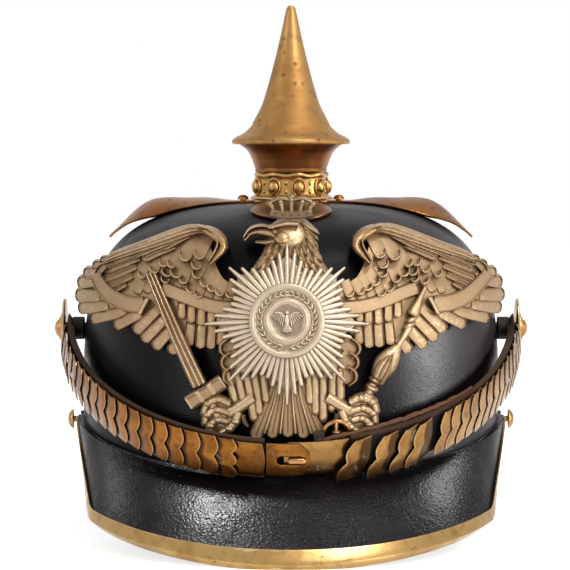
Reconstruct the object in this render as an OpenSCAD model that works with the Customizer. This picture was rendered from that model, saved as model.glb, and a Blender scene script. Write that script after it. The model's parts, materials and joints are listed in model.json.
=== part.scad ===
// Spiked leather parade helmet with an eagle plate, a brass cross base and convex chin-scales.
// Millimetres. +Z is up, the front faces -Y, and z = 0 is the table that both peaks stand on.

/* [Leather skull] */
// Half width of the skull at the boss line
skull_half_w = 91; // [86:0.5:94]
// Half length of the skull
skull_half_l = 108; // [104:0.5:112]
// Height of the skull's crown over the table
skull_top_z = 140.8; // [138:0.2:146]
// Height at which the walls start to round over
skull_spring_z = 55; // [48:1:60]
// Thickness of the skull leather
skull_wall = 3; // [2:0.1:4]
// Squareness of the dome, as the power of its superellipse
dome_power = 3.4; // [3:0.1:3.8]
// Height of the rim at the front
rim_front_z = 34; // [30:0.5:38]
// Height of the rim at the sides
rim_side_z = 49; // [46:0.5:52]
// Height of the rim at the back
rim_back_z = 37; // [33:0.5:40]
// How far the skull reaches down inside the peaks
rim_hem = 1; // [0.5:0.1:1.5]
// Radius of the ventilation hole in the crown
vent_hole_r = 9.5; // [8.6:0.1:10.5]

/* [Peaks] */
// Thickness of the peak leather
peak_t = 2.2; // [1.6:0.1:3]
// Thickness of the lining glued under each peak
lining_t = 0.8; // [0.5:0.1:1.2]
// Reach of the front peak's leather beyond the skull
front_peak_out = 38.6; // [34:0.2:42]
// Half width between the square corners of the front peak
front_corner_x = 83.6; // [78:0.2:88]
// Height of the square corners
front_corner_z = 12.4; // [9:0.2:15]
// Height of the front peak's leather at the middle of its edge
front_tip_z = 2; // [1.8:0.1:3]
// Radius of the round corners, seen along the edge
front_corner_r = 5; // [2:0.5:8]
// Crown of the peaks between skull and edge
peak_bulge = 1.6; // [0.5:0.1:3]
// Reach of the rear peak beyond the skull
rear_peak_out = 40.9; // [35:0.1:44]

/* [Brass edging] */
// Thickness of the edging's sheet
trim_t = 0.8; // [0.5:0.1:1.2]
// Width of the edging at the sides
trim_side_w = 3.8; // [3:0.1:5]
// Width of the edging at the middle
trim_mid_w = 6.4; // [5:0.1:8]
// Radius of the domed rivet at each end
trim_rivet_r = 4.2; // [3:0.1:5]
// Width of the rear spine
spine_w = 11; // [8:0.5:14]
// Thickness of the rear spine at its middle
spine_t = 1.5; // [1:0.1:2]

/* [Cross base] */
// Thickness of the cross base's sheet
base_t = 1; // [0.8:0.1:1.4]
// Length of the side arms from the centre
base_arm_l = 80; // [76:0.5:83]
// Length of the front and rear arms
base_arm_front_l = 76; // [70:0.5:78]
// Half width of the leaf arms at their widest
base_arm_w = 19.5; // [17:0.5:21]
// Most that the arms stand off the leather
base_lift = 7.6; // [5:0.2:8.5]
// How much of that the front arm has
base_front_share = 0.08; // [0.05:0.01:0.3]
// Distance of the base screws from the centre
base_screw_at = 21; // [20:0.2:23]
// Radius of the base screws' shanks
base_screw_r = 1.3; // [1:0.1:1.6]

/* [Spike] */
// Radius of the spike's threaded stud, thread left plain
stud_r = 5; // [4:0.1:5.5]
// Running clearance of every shaft in its hole
running_fit = 0.05; // [0.02:0.01:0.09]
// Outer radius of the socket
socket_r = 8; // [7.4:0.1:8.4]
// Radius of the pearl ring
pearl_ring_r = 15.4; // [14:0.1:16]
// Height of the pearl ring
pearl_ring_h = 11.7; // [10:0.1:13]
// Number of pearls
pearl_count = 9; // [7:1:10]
// Half width of a pearl
pearl_r = 2.1; // [1.8:0.1:2.4]
// Radius of the neck at its foot
neck_foot_r = 15.7; // [14.5:0.1:16.5]
// Radius of the spike's flared rim
spike_rim_r = 25.7; // [24:0.1:27]
// Height of the neck from its foot to the rim
neck_h = 12.4; // [10:0.1:14]
// Height of the cone from the rim to the tip
cone_h = 60.3; // [50:0.1:66]
// Thickness of the spike's sheet
spike_wall = 1.2; // [0.8:0.1:1.6]

/* [Chin-scales] */
// Height of the boss axis
boss_z = 85.5; // [83:0.5:90]
// Slope of the strap below the boss axis, in degrees
strap_tilt = 20.9; // [19:0.1:23]
// Gap between the skull and the strap's inner face at the bosses
strap_side_gap = 5.2; // [4.5:0.1:7]
// Gap between the skull and the strap's inner face at the front, along the strap's slope
strap_front_gap = 17; // [15:0.5:21]
// Thickness of the strap leather
strap_t = 1.8; // [1.2:0.1:2.4]
// Width of the strap leather
strap_w = 16; // [14:0.5:18]
// Width of the scales
scale_w = 17.4; // [15:0.2:19]
// Length of a scale, part of it under the one before
scale_l = 11.8; // [11:0.1:13]
// Number of scales on each side
scale_count = 18; // [14:1:18]
// Thickness of a scale
scale_t = 0.6; // [0.4:0.05:0.7]
// Rise of a scale from its hidden end to its free end
scale_rise = 1.5; // [1.4:0.1:1.8]
// Width of the plain plates at the front
plate_w = 14.4; // [12:0.2:16]
// Thickness of the plain plates
plate_t = 0.8; // [0.6:0.1:1]
// Radius of the post through each boss
post_r = 2.5; // [2:0.1:3]
// Radius of the round end plates
end_plate_r = 13; // [11:0.5:14]
// Radius of the domed bosses
boss_r = 6.6; // [5.5:0.1:8]

/* [Eagle plate] */
// Thickness of the plate's sheet
eagle_t = 0.9; // [0.7:0.1:1.2]
// Stand-off of the plate from the leather at the middle
eagle_gap = 2.2; // [1.8:0.1:3]
// Extra stand-off at the wing tips
eagle_tip_gap = 4.4; // [3.4:0.1:4.6]
// Radius of the star's long rays
star_r = 33.5; // [30:0.5:35]
// Radius of the star's notches
star_notch_r = 22.5; // [20:0.5:25]
// Number of flutes round the star
star_flutes = 56; // [48:8:64]
// Height of the star's centre
star_z = 95.5; // [92:0.5:99]
// Radius of the medallion
medallion_r = 15.4; // [14:0.1:16.5]
// Thickness of the star's sheet
star_t = 1.2; // [1:0.1:1.6]

/* [Inside] */
// Height of the sweatband's upper edge
sweatband_top_z = 74; // [68:1:78]
// Thickness of the sweatband
sweatband_t = 1.4; // [1:0.1:2]
// Number of leather tongues in the liner
tongue_count = 10; // [8:1:12]

/* [Hidden] */

$fn = 48;
clear = 0.3;
slip = 0.15;

/* Colours of the finishes */
black_leather = [0.09, 0.09, 0.1];
brown_leather = [0.24, 0.15, 0.1];
liner_leather = [0.55, 0.4, 0.26];
peak_lining_green = [0.12, 0.2, 0.14];
dark_leather = [0.19, 0.13, 0.1];
bronze_brass = [0.72, 0.52, 0.28];
yellow_brass = [0.8, 0.62, 0.26];
orange_brass = [0.74, 0.46, 0.2];
olive_brass = [0.66, 0.45, 0.2];
copper_brown = [0.6, 0.38, 0.2];
pale_gold = [0.72, 0.6, 0.4];
silver_gilt = [0.82, 0.76, 0.66];
steel = [0.5, 0.5, 0.5];

/* Small helpers */
function mix(a, b, t) = a + (b - a) * t;
function unit(v) = v / norm(v);
function flip_x(p) = [-p.x, p.y, p.z];
function total(list, i = 0) = i < len(list) ? list[i] + total(list, i + 1) : 0;
function signed_volume(points, faces) =
    total([for (f = faces) points[f[0]] * cross(points[f[1]], points[f[2]])]);

// A closed solid from triangles, turned the right way out whichever way they were listed
module solid_of(points, faces) {
    inside_out = signed_volume(points, faces) > 0;
    polyhedron(points, inside_out ? [for (f = faces) [f[2], f[1], f[0]]] : faces);
}

// A closed solid between an outer and an inner grid of points, open or joined round as a ring
module sheet(outer, inner, ring = false) {
    rows = len(outer);
    cols = len(outer[0]);
    n = rows * cols;
    last = ring ? cols - 1 : cols - 2;
    points = concat([for (row = outer) each row], [for (row = inner) each row]);
    faces = [
        for (i = [0:rows - 2], j = [0:last])
            let (k = (j + 1) % cols, a = i * cols + j, b = i * cols + k, c = a + cols, d = b + cols)
            each [[a, b, d], [a, d, c], [n + b, n + a, n + d], [n + d, n + a, n + c]],
        for (j = [0:last])
            let (k = (j + 1) % cols, a = j, b = k, c = n - cols + j, d = n - cols + k)
            each [[b, a, n + a], [b, n + a, n + b], [c, d, n + d], [c, n + d, n + c]],
        if (!ring)
            for (i = [0:rows - 2])
                let (a = i * cols, c = a + cols, b = a + cols - 1, d = b + cols)
                each [[a, c, n + c], [a, n + c, n + a], [d, b, n + b], [d, n + b, n + d]]
    ];
    solid_of(points, faces);
}

// The smallest convex solid round some points
module wrap_points(points) {
    hull() polyhedron(points, [for (i = [0:len(points) - 3]) [i, i + 1, i + 2]]);
}

// A turned solid along X, from a list of [x, radius] points
module turned_along_x(profile) {
    rotate([90, 0, 90]) rotate_extrude() polygon([for (p = profile) [p[1], p[0]]]);
}

/* The dome of the skull */
dome_h = skull_top_z - skull_spring_z;
function taper(t) = pow(max(1 - pow(t, dome_power), 0.0001), 1 / dome_power);
function dome_scale(z, off = 0) = taper(max(z - skull_spring_z, 0) / (dome_h + off));
function dome_y(x, z, off) =
    let (s = dome_scale(z, off), q = 1 - pow(x / ((skull_half_w + off) * s), 2))
    -(skull_half_l + off) * s * sqrt(max(q, 0.02));
function dome_z(x, y) =
    let (q = norm([x / skull_half_w, y / skull_half_l]))
    skull_spring_z + dome_h * taper(min(q, 0.98));
// A point on the skull's wall, at an angle from the front and a height
function wall_point(angle, z, off) =
    let (s = dome_scale(z, off))
    [(skull_half_w + off) * s * sin(angle), -(skull_half_l + off) * s * cos(angle), z];
// Height of the rim, at an angle from the front
function rim_z(angle) = cos(angle) > 0
    ? mix(rim_side_z, rim_front_z, cos(angle))
    : mix(rim_side_z, rim_back_z, -cos(angle));

/* Skull: leather shell, drilled for everything that is bolted to it */
skull_sides = 48;
skull_rows = [0, 3, 9, 17, 26, 36, 47, 58, 68, 77, 84];
function skull_grid(off, hem) = concat(
    [[for (j = [0:skull_sides - 1]) let (a = j * 360 / skull_sides) wall_point(a, rim_z(a) - hem, off)]],
    [for (t = skull_rows)
        let (s = pow(cos(t), 2 / dome_power), z = skull_spring_z + (dome_h + off) * pow(sin(t), 2 / dome_power))
        [for (j = [0:skull_sides - 1]) let (a = j * 360 / skull_sides)
            [(skull_half_w + off) * s * sin(a), -(skull_half_l + off) * s * cos(a), z]]],
    [[for (j = [0:skull_sides - 1]) let (a = j * 360 / skull_sides)
        [vent_hole_r * sin(a), -vent_hole_r * cos(a), skull_top_z + off]]]);

module skull_shell() {
    color(black_leather) difference() {
        sheet(skull_grid(0, rim_hem), skull_grid(-skull_wall, rim_hem), ring = true);
        for (side = [-1, 1]) {
            translate([side * skull_half_w, 0, boss_z]) rotate([0, 90, 0])
                cylinder(r = post_r + slip, h = 20, center = true);
            translate([side * skull_half_w, trim_end_y, trim_rivet_z]) rotate([0, 90, 0])
                cylinder(r = rivet_shank_r + slip, h = 20, center = true);
            translate([side * eagle_post_x, 0, eagle_post_z]) rotate([90, 0, 0])
                cylinder(r = eagle_post_r + slip, h = skull_half_l);
        }
        for (a = [0:90:270]) rotate(a) translate([base_screw_at, 0, skull_top_z])
            cylinder(r = base_screw_r + slip, h = 20, center = true);
        for (z = spine_stud_z) translate([0, skull_half_l, z]) rotate([90, 0, 0])
            cylinder(r = spine_stud_r + slip, h = 60, center = true);
    }
}

/* Front peak: a grid from the seam on the skull down to the square-cut edge */
seam_off = peak_t + clear;
trim_end_y = -6;
trim_end_x = skull_half_w + 1.8;
trim_rivet_z = rim_side_z - 3;
rivet_shank_r = 1.3;
side_steps = 5;
corner_steps = 3;
arc_steps = 9;
peak_rows = [0, 0.2, 0.45, 0.72, 1];
// The peak's edge in plan is an arc through both corners and the tip
front_corner_y = 26 - skull_half_l;
front_peak_reach = skull_half_l + front_peak_out;
edge_arc_r = (pow(front_corner_x, 2) + pow(front_peak_reach + front_corner_y, 2))
    / (2 * (front_peak_reach + front_corner_y));
edge_arc_a = asin(front_corner_x / edge_arc_r);
function edge_arc(a) =
    let (x = edge_arc_r * sin(a))
    [x, edge_arc_r - front_peak_reach - edge_arc_r * cos(a),
        front_tip_z + (front_corner_z - front_tip_z) * pow(x / front_corner_x, 2)];
function edge_side(t) = mix([trim_end_x, trim_end_y, rim_side_z - 5],
    [front_corner_x, front_corner_y, front_corner_z], t);
side_l = norm(edge_side(1) - edge_side(0));
corner_p = edge_side(1);
corner_from = edge_side(1 - front_corner_r / side_l);
corner_to_a = edge_arc_a - front_corner_r / edge_arc_r * 57.3;
// Each entry is [angle of the matching seam point, edge point]
seam_at_corner = 52;
front_half = concat(
    [for (i = [0:arc_steps - 1]) let (a = corner_to_a * i / arc_steps)
        [seam_at_corner * a / edge_arc_a, edge_arc(a)]],
    [for (i = [0:corner_steps]) let (t = i / corner_steps, a = edge_arc(corner_to_a))
        [seam_at_corner + (t - 0.5) * 4, mix(mix(a, corner_p, t), mix(corner_p, corner_from, t), t)]],
    [for (i = [1:side_steps]) let (t = i / side_steps)
        [mix(seam_at_corner + 2, 86, t), mix(corner_from, edge_side(0), t)]]);
front_columns = concat(
    [for (i = [len(front_half) - 1:-1:1]) [-front_half[i][0], flip_x(front_half[i][1])]],
    front_half);

// Rear peak: a round edge that comes down to the table at the back
rear_peak_reach = skull_half_l + rear_peak_out;
rear_dip = 1.6;
rear_side_z = 43;
rear_steps = 14;
rear_columns = [for (i = [-rear_steps:rear_steps]) let (a = i * 86 / rear_steps)
    [180 - a, [(skull_half_w + 0.4) * sin(a),
        10 + (rear_peak_reach - 10) * pow(cos(a), 0.92),
        -rear_dip + (rear_side_z + rear_dip) * pow(1 - cos(a), 1.12)]]];

// Outward normal of a column, square to its own line and to the seam
function column_normal(c) =
    let (s = wall_point(c[0], rim_z(c[0]), seam_off), along = wall_point(c[0] + 1, rim_z(c[0] + 1), seam_off) - s,
        n = unit(cross(along, c[1] - s)))
    n * (n * [s.x, s.y, 60] > 0 ? 1 : -1);
function column_l(c) = norm(c[1] - wall_point(c[0], rim_z(c[0]), seam_off));
peak_crown = [for (v = peak_rows) [v, 4 * v * (1 - v)]];
function peak_point(c, v, depth) =
    mix(wall_point(c[0], rim_z(c[0]), seam_off), c[1], v)
        + column_normal(c) * (peak_bulge * lookup(v, peak_crown) * min(column_l(c) / 40, 1) - depth);
function peak_grid(columns, rows, depth) = [for (v = rows) [for (c = columns) peak_point(c, v, depth)]];

module above_table() {
    difference() {
        children();
        translate([0, 0, -25]) cube([400, 400, 50], center = true);
    }
}

module front_peak() {
    color(black_leather) difference() {
        sheet(peak_grid(front_columns, peak_rows, 0), peak_grid(front_columns, peak_rows, peak_t));
        for (side = [-1, 1]) translate([side * skull_half_w, trim_end_y, trim_rivet_z]) rotate([0, 90, 0])
            cylinder(r = rivet_shank_r + slip, h = 20, center = true);
    }
}

module rear_peak() {
    color(black_leather) above_table() difference() {
        sheet(peak_grid(rear_columns, peak_rows, 0), peak_grid(rear_columns, peak_rows, peak_t));
        spine_hole();
    }
}

lining_glue = 0.25;
// The lining ends short of the edge by its margin there
module peak_lining(columns, margin) {
    grid = function (depth) [for (f = [0, 0.35, 0.7, 1])
        [for (c = columns) peak_point(c, mix(0.12, 1 - margin(c) / column_l(c), f), depth)]];
    sheet(grid(peak_t + lining_glue), grid(peak_t + lining_glue + lining_t));
}
module front_peak_lining() {
    color(peak_lining_green)
        peak_lining([for (c = front_columns) if (abs(c[0]) < 70) c], function (c) trim_lip(c) + trim_t);
}
module rear_peak_lining() {
    color(peak_lining_green) above_table()
        peak_lining([for (c = rear_columns) if (abs(c[0] - 180) < 62) c], function (c) 4);
}

/* Brass edging: a channel that wraps the front peak's edge */
trim_gap = 0.22;
function trim_width(c) = mix(trim_mid_w, trim_side_w, min(pow(abs(c[1].x) / front_corner_x, 1.5), 1));
// The leg under the peak is shorter, and fades out where the peak meets the skull
function trim_lip(c) = trim_width(c) * 0.7 * min(max((-c[1].y - 14) / 24, 0.04), 1);
// A point of the channel: in from the edge along the leather, and out from its upper face
function trim_point(c, inward, outward) = peak_point(c, 1 - inward / column_l(c), -outward);
function trim_row(c, skin) =
    let (w = trim_width(c), up = trim_gap + skin, down = -peak_t - trim_gap - skin, lip = -trim_gap - skin,
        under = trim_lip(c))
    [trim_point(c, w, up), trim_point(c, 0.6, up), trim_point(c, lip * 0.8, up - 0.5 * skin),
        trim_point(c, lip, -peak_t / 2), trim_point(c, lip * 0.8, down + 0.5 * skin),
        trim_point(c, under * 0.2, down), trim_point(c, under, down)];
module front_peak_trim() {
    color(yellow_brass) above_table() difference() {
        sheet([for (c = front_columns) trim_row(c, trim_t)], [for (c = front_columns) trim_row(c, 0)]);
        for (side = [-1, 1]) translate([side * skull_half_w, trim_end_y, trim_rivet_z]) rotate([0, 90, 0])
            cylinder(r = rivet_shank_r + slip, h = 20, center = true);
    }
}

module trim_end_rivets() {
    base_x = trim_end_x + seam_off;
    inner_x = skull_half_w - skull_wall;
    color(yellow_brass) for (side = [0, 1]) mirror([side, 0, 0])
        translate([0, trim_end_y, trim_rivet_z]) turned_along_x([
            [inner_x - 2, 0], [inner_x - 2, 2.6], [inner_x - 1, 2.6], [inner_x - 1, rivet_shank_r],
            [base_x, rivet_shank_r], [base_x, trim_rivet_r], [base_x + 0.9, trim_rivet_r * 0.93],
            [base_x + 1.9, trim_rivet_r * 0.64], [base_x + 2.4, trim_rivet_r * 0.3], [base_x + 2.5, 0]]);
}

/* Rear spine: a brass strip from under the cross base down to the rear peak's edge */
spine_stud_r = 1.3;
spine_stud_z = [88];
spine_peak_stud_v = 0.55;
spine_off = 0.35;
rear_mid = rear_columns[rear_steps];
function rear_wall(z, off) = [0, -dome_y(0, z, off), z];
spine_line = concat(
    [for (z = [134, 128, 120, 110, 97, 82, 66, 52, 42]) rear_wall(z, spine_off)],
    [for (v = [0.16, 0.35, 0.6, 0.88]) peak_point(rear_mid, v, -spine_off)]);
function spine_normal(i) =
    let (a = spine_line[max(i - 1, 0)], b = spine_line[min(i + 1, len(spine_line) - 1)], d = unit(b - a))
    [0, -d.z, d.y];
function spine_row(i, top) =
    let (p = spine_line[i], n = spine_normal(i))
    [for (t = [-1, -0.55, 0, 0.55, 1])
        p + [t * spine_w / 2, 0, 0] + n * (top ? spine_t * (1 - 0.55 * t * t) : 0)];
module spine_hole() {
    p = peak_point(rear_mid, spine_peak_stud_v, 0);
    translate(p) rotate([-atan2(column_normal(rear_mid).y, column_normal(rear_mid).z), 0, 0])
        cylinder(r = spine_stud_r + slip, h = 14, center = true);
}
module rear_spine() {
    rows = [0:len(spine_line) - 1];
    color(bronze_brass) difference() {
        sheet([for (i = rows) spine_row(i, true)], [for (i = rows) spine_row(i, false)]);
        spine_hole();
        for (z = spine_stud_z) translate([0, skull_half_l, z]) rotate([90, 0, 0])
            cylinder(r = spine_stud_r + slip, h = 60, center = true);
    }
}
module spine_stud(shank) {
    color(bronze_brass) rotate_extrude() polygon([[0, -shank], [spine_stud_r, -shank], [spine_stud_r, 0],
        [2.8, 0], [2.5, 0.7], [1.7, 1.3], [0.8, 1.6], [0, 1.7]]);
}
module rear_spine_studs() {
    n = column_normal(rear_mid);
    translate(peak_point(rear_mid, spine_peak_stud_v, -spine_off - spine_t - 0.1))
        rotate([-atan2(n.y, n.z), 0, 0]) spine_stud(spine_off + spine_t + peak_t - 0.1);
    for (z = spine_stud_z) translate(rear_wall(z, spine_off + spine_t + 0.5)) rotate([-90, 0, 0])
        spine_stud(skull_wall + spine_off + spine_t + 1.3);
}

/* Cross base: four leaf arms from a round middle, in one sheet */
base_hole_r = socket_r + slip;
// Edge of the sheet: angle from an arm's middle, and its distance as a share of the arm's length
arm_edge = [[0, 1], [2.5, 0.965], [8.5, 0.9], [14, 0.825], [18, 0.725], [19.8, 0.6], [21.8, 0.42],
    [24, 0.3], [33, 0.235], [45, 0.225]];
// Distance along an arm, and the stand-off there as a share of the most
arm_lift = [[0, 0], [25, 0], [35, 0.26], [47, 0.5], [55, 0.79], [61, 0.97], [66, 0.95], [71, 0.81],
    [75.5, 0.72], [80, 0.86], [84, 1]];
arm_angles = [-33, -24, -21.8, -19.8, -18, -14, -8.5, -2.5, 0, 2.5, 8.5, 14, 18, 19.8, 21.8, 24, 33, 45];
base_rows = [0, 0.22, 0.4, 0.6, 0.78, 0.9, 1];
// Angle from the middle of the nearest arm
function base_angle(t) = (t + 405) % 90 - 45;
// The front arm lies on the leather, the rear one stands off for the spine, and the side ones arch up
function arm_share(a) = cos(a) > 0.7071 ? base_front_share : cos(a) < -0.7071 ? 0.55 : 1;
function base_point(a, f, up) =
    let (m = abs(base_angle(a)), widen = base_arm_w / 19.5,
        arm_l = abs(cos(a)) > 0.7071 ? base_arm_front_l : base_arm_l,
        r = mix(base_hole_r, arm_l * lookup(m / widen, arm_edge), f),
        x = r * sin(a), y = -r * cos(a),
        arched = 1 - 0.93 * pow(r * sin(m) / (0.9 * base_arm_w), 2))
    [x, y, dome_z(x, y) + slip + up + base_lift * lookup(r, arm_lift) * arm_share(a) * arched];
function base_grid(up) = [for (f = base_rows) [for (q = [0:3], a = arm_angles) base_point(q * 90 + a, f, up)]];
module cross_base() {
    color(copper_brown) difference() {
        sheet(base_grid(base_t), base_grid(0), ring = true);
        for (a = [0:90:270]) rotate(a) translate([base_screw_at, 0, skull_top_z])
            cylinder(r = base_screw_r + slip, h = 20, center = true);
    }
}
base_top_z = skull_top_z + slip + base_t;
module base_screws() {
    color(copper_brown) for (a = [0:90:270]) rotate(a) translate([base_screw_at, 0, base_top_z + 0.15])
        rotate_extrude() polygon([[0, -9], [base_screw_r, -9], [base_screw_r, 0], [2.5, 0], [2.4, 0.8],
            [1.7, 1.6], [0.8, 2], [0, 2.1]]);
}
module base_nuts() {
    color(steel) for (a = [0:90:270]) rotate(a)
        translate([base_screw_at, 0, skull_top_z - skull_wall - 2.6]) difference() {
            cylinder(r = 3, h = 2, $fn = 4);
            translate([0, 0, -1]) cylinder(r = base_screw_r, h = 4);
        }
}

/* Socket of the spike, with its nut inside the skull */
socket_top_z = base_top_z + 8.5;
socket_low_z = skull_top_z - 11;
module spike_socket() {
    color(bronze_brass) rotate_extrude() polygon([
        [stud_r + running_fit, socket_low_z], [socket_r, socket_low_z], [socket_r, base_top_z + 0.1],
        [socket_r + 1, base_top_z + 0.1], [socket_r + 1, base_top_z + 1.6], [socket_r, base_top_z + 1.6],
        [socket_r, socket_top_z], [stud_r + running_fit, socket_top_z]]);
}
module socket_nut() {
    color(steel) translate([0, 0, skull_top_z - skull_wall - 4]) difference() {
        cylinder(r = 13.5, h = 3.7, $fn = 6);
        translate([0, 0, -1]) cylinder(r = socket_r, h = 6);
    }
}

/* Pearl ring: a gallery of oval pearls under the spike */
ring_z = base_top_z + clear;
ring_inner_r = socket_r + 1 + clear;
module pearl() {
    steps = 8;
    rotate_extrude($fn = 24) polygon([for (i = [0:steps]) let (a = -90 + i * 180 / steps)
        [max(pearl_r * cos(a), 0), pearl_r * 1.35 * sin(a)]]);
}
module pearl_ring() {
    h = pearl_ring_h;
    mid_z = h * 0.46;
    color(yellow_brass) translate([0, 0, ring_z]) union() {
        rotate_extrude() polygon([[ring_inner_r, 0], [pearl_ring_r + 2.4, 0], [pearl_ring_r + 2.6, 0.9],
            [pearl_ring_r + 0.6, 2], [pearl_ring_r, 3], [pearl_ring_r, h - 2.6], [pearl_ring_r + 0.8, h - 1.2],
            [pearl_ring_r + 0.7, h], [pearl_ring_r - 1, h], [pearl_ring_r - 1.3, 1.3], [ring_inner_r, 1.3]]);
        for (i = [0:pearl_count - 1]) rotate(-78 + i * 360 / pearl_count) {
            translate([pearl_ring_r + 0.5, 0, mid_z]) pearl();
            translate([pearl_ring_r - 0.6, 0, mid_z]) rotate([0, 90, 0])
                cylinder(r = pearl_r * 1.62, h = 1.3, $fn = 32);
        }
    }
}

/* Spike: hollow cone with a flared rim, neck bowl and stud */
neck_z = ring_z + pearl_ring_h + clear;
rim_z0 = neck_z + neck_h;
// Outline of the cone: height over the rim as a share of the cone, and radius as a share of the rim
cone_shape = [[0.03, 1], [0.075, 0.8], [0.13, 0.66], [0.155, 0.64], [0.26, 0.515], [0.4, 0.405], [0.57, 0.297],
    [0.75, 0.194], [0.9, 0.118], [0.97, 0.082], [0.995, 0.045]];
neck_shape = [[0, 0], [0.07, 0], [0.27, 0.08], [0.5, 0.22], [0.8, 0.53], [0.98, 0.93]];
module spike_cone() {
    rim = spike_rim_r;
    outer = [for (p = cone_shape) [rim * p[1], rim_z0 + cone_h * p[0]]];
    inner = [for (i = [len(cone_shape) - 3:-1:1]) [outer[i][0] - spike_wall * 1.1, outer[i][1] - spike_wall * 0.3]];
    color(bronze_brass) rotate_extrude() polygon(concat(
        [[rim - 2.2, rim_z0 + 0.2], [rim - 0.5, rim_z0 - 0.4], [rim + 0.1, rim_z0 + 0.2], [rim + 0.2, rim_z0 + 1]],
        outer, [[0, rim_z0 + cone_h], [0, outer[len(outer) - 3][1] - 3]], inner, [[rim - 2.2, rim_z0 + 1]]));
}
module spike_neck() {
    foot = neck_foot_r;
    top = spike_rim_r - 2.4;
    outer = [for (p = neck_shape) [mix(foot, top, p[1]), neck_z + neck_h * p[0]]];
    inner = [for (i = [len(outer) - 1:-1:2]) [outer[i][0] - spike_wall, outer[i][1] + 0.4]];
    color(bronze_brass) rotate_extrude() polygon(concat(
        [[stud_r, neck_z]], outer, inner,
        [[foot - spike_wall, neck_z + spike_wall], [stud_r, neck_z + spike_wall]]));
}
module spike_stud() {
    color(bronze_brass) rotate_extrude() polygon([[0, socket_low_z + 1], [stud_r - 0.6, socket_low_z + 1],
        [stud_r, socket_low_z + 1.8], [stud_r, neck_z + spike_wall], [stud_r + 4, neck_z + spike_wall],
        [stud_r + 4, neck_z + spike_wall + 1.5], [0, neck_z + spike_wall + 1.5]]);
}

/* Eagle plate: laid out in the front view as x and z, then put on a surface over the skull */
function eagle_off(x, z) = eagle_gap + eagle_tip_gap * pow(min(abs(x) / 92, 1), 3) + 0.02 * pow(max(z - 125, 0), 2);
function on_eagle(x, z, h) = [x, dome_y(x, z, eagle_off(x, z) + h), z];
eagle_post_x = 45;
eagle_post_z = 104;
eagle_post_r = 1.3;

// A strip along a line of [x, z] points, with a half width at each end
function strip_side(line, i) =
    let (d = unit(line[min(i + 1, len(line) - 1)] - line[max(i - 1, 0)])) [-d.y, d.x];
module strip(line, w0, w1, low, high) {
    last = len(line) - 1;
    grid = function (side_h, mid_h) [for (i = [0:last])
        let (w = mix(w0, w1, i / last), n = strip_side(line, i))
        [for (t = [-1, 0, 1]) let (p = line[i] + n * w * t) on_eagle(p.x, p.y, t == 0 ? mid_h : side_h)]];
    sheet(grid(high, high), grid(low, low));
}
// A feather or other tapered bar, crowned along its middle, as one convex solid
module bar(from, to, w0, w1, high, low = 0.1) {
    d = unit(to - from);
    n = [-d.y, d.x];
    sides = [from - n * w0, from + n * w0, to - n * w1, to + n * w1];
    wrap_points(concat(
        [for (p = concat(sides, [to + d * w1 * 0.8])) on_eagle(p.x, p.y, low)],
        [for (p = sides) on_eagle(p.x, p.y, mix(low, high, 0.5))],
        [for (p = [from, to]) on_eagle(p.x, p.y, high)]));
}
// A round bead or blob of the plate
module bead(p, rx, rz, high) {
    wrap_points(concat(
        [for (a = [0:60:300]) on_eagle(p.x + rx * cos(a), p.y + rz * sin(a), 0.1)],
        [for (a = [30:120:270]) on_eagle(p.x + rx * 0.5 * cos(a), p.y + rz * 0.5 * sin(a), high)]));
}
function flip_list(list, side) = [for (p = list) [p.x * side, p.y]];

// Columns of a wing's sheet: distance from the middle, height of its upper and lower edge
wing_columns = [[20, 110, 90], [29, 118, 86], [34, 130, 84], [40, 133, 82.5], [48, 130, 82.5], [56, 126.5, 84],
    [64, 123.5, 89], [73, 120.5, 91], [82, 117, 92], [87.5, 112.5, 96], [90, 107, 100]];
module wing(side) {
    grid = function (h, crown) [for (c = wing_columns)
        [for (t = [0, 0.25, 0.5, 0.75, 1]) on_eagle(side * c[0], mix(c[1], c[2], t), h + crown * sin(t * 180))]];
    sheet(grid(eagle_t, 1.1), grid(0, 0));
    // Rolled shoulder
    shoulder = flip_list([[30, 116], [26, 121], [25.6, 127], [31, 132.6], [41, 132.5]], side);
    for (i = [0:len(shoulder) - 2]) bar(shoulder[i], shoulder[i + 1], 2.4, 2.4, 3);
    // Leading edge
    for (i = [0:2]) bar([side * (43 + i * 13.4), 130.6 - i * 5], [side * (56 + i * 13.2), 126 - i * 4.8], 2.3, 2.1, 2.6);
    // Primaries round the tip
    tips = [[85.5, 112.5], [88.5, 106.5], [88.6, 101], [87, 96], [81.5, 91.5], [74, 90.6]];
    for (i = [0:5]) bar([side * (76 - i * 3), 110 - i * 2.4], [side * tips[i].x, tips[i].y], 2.2, 2.7, 2);
    // Slanted primaries under the wing
    low_tips = [[63.5, 90.5], [60.5, 86.4], [56.3, 83.4], [50.8, 81.6]];
    for (i = [0:3]) bar([side * (53 - i * 1.4), 97 - i * 3.4], [side * low_tips[i].x, low_tips[i].y], 2.1, 2.3, 2.2);
    // Secondaries beside the star
    for (i = [0:3]) bar([side * (28.4 + i * 4.5), 93 - i * 0.6], [side * (28.4 + i * 4.5), 87 - i * 1.1], 2.1, 2.2, 2.3);
    // Rows of small rounded coverts
    for (row = [0:1], i = [0:3 - row]) bead([side * (36 + i * 8 + row * 3), 123.5 - row * 7.5 - i * 2.8], 3.2, 2.6, 2.6);
}
module ribbons() {
    left_outer = [[-82, 113], [-80.5, 107], [-75.5, 103], [-68, 100.8], [-60.5, 100.4]];
    left_inner = [[-52, 106.4], [-43, 104.6], [-34, 102.6], [-24, 101.2]];
    right_inner = [[20, 100.4], [32, 101.4], [43, 104.2], [54, 108]];
    right_outer = [[60, 101.2], [68, 101.8], [75.5, 104.6], [81, 108.6], [84.5, 112.6]];
    for (line = [left_outer, left_inner, right_inner, right_outer]) strip(line, 2.7, 2.8, 0.3, 3);
}
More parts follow.
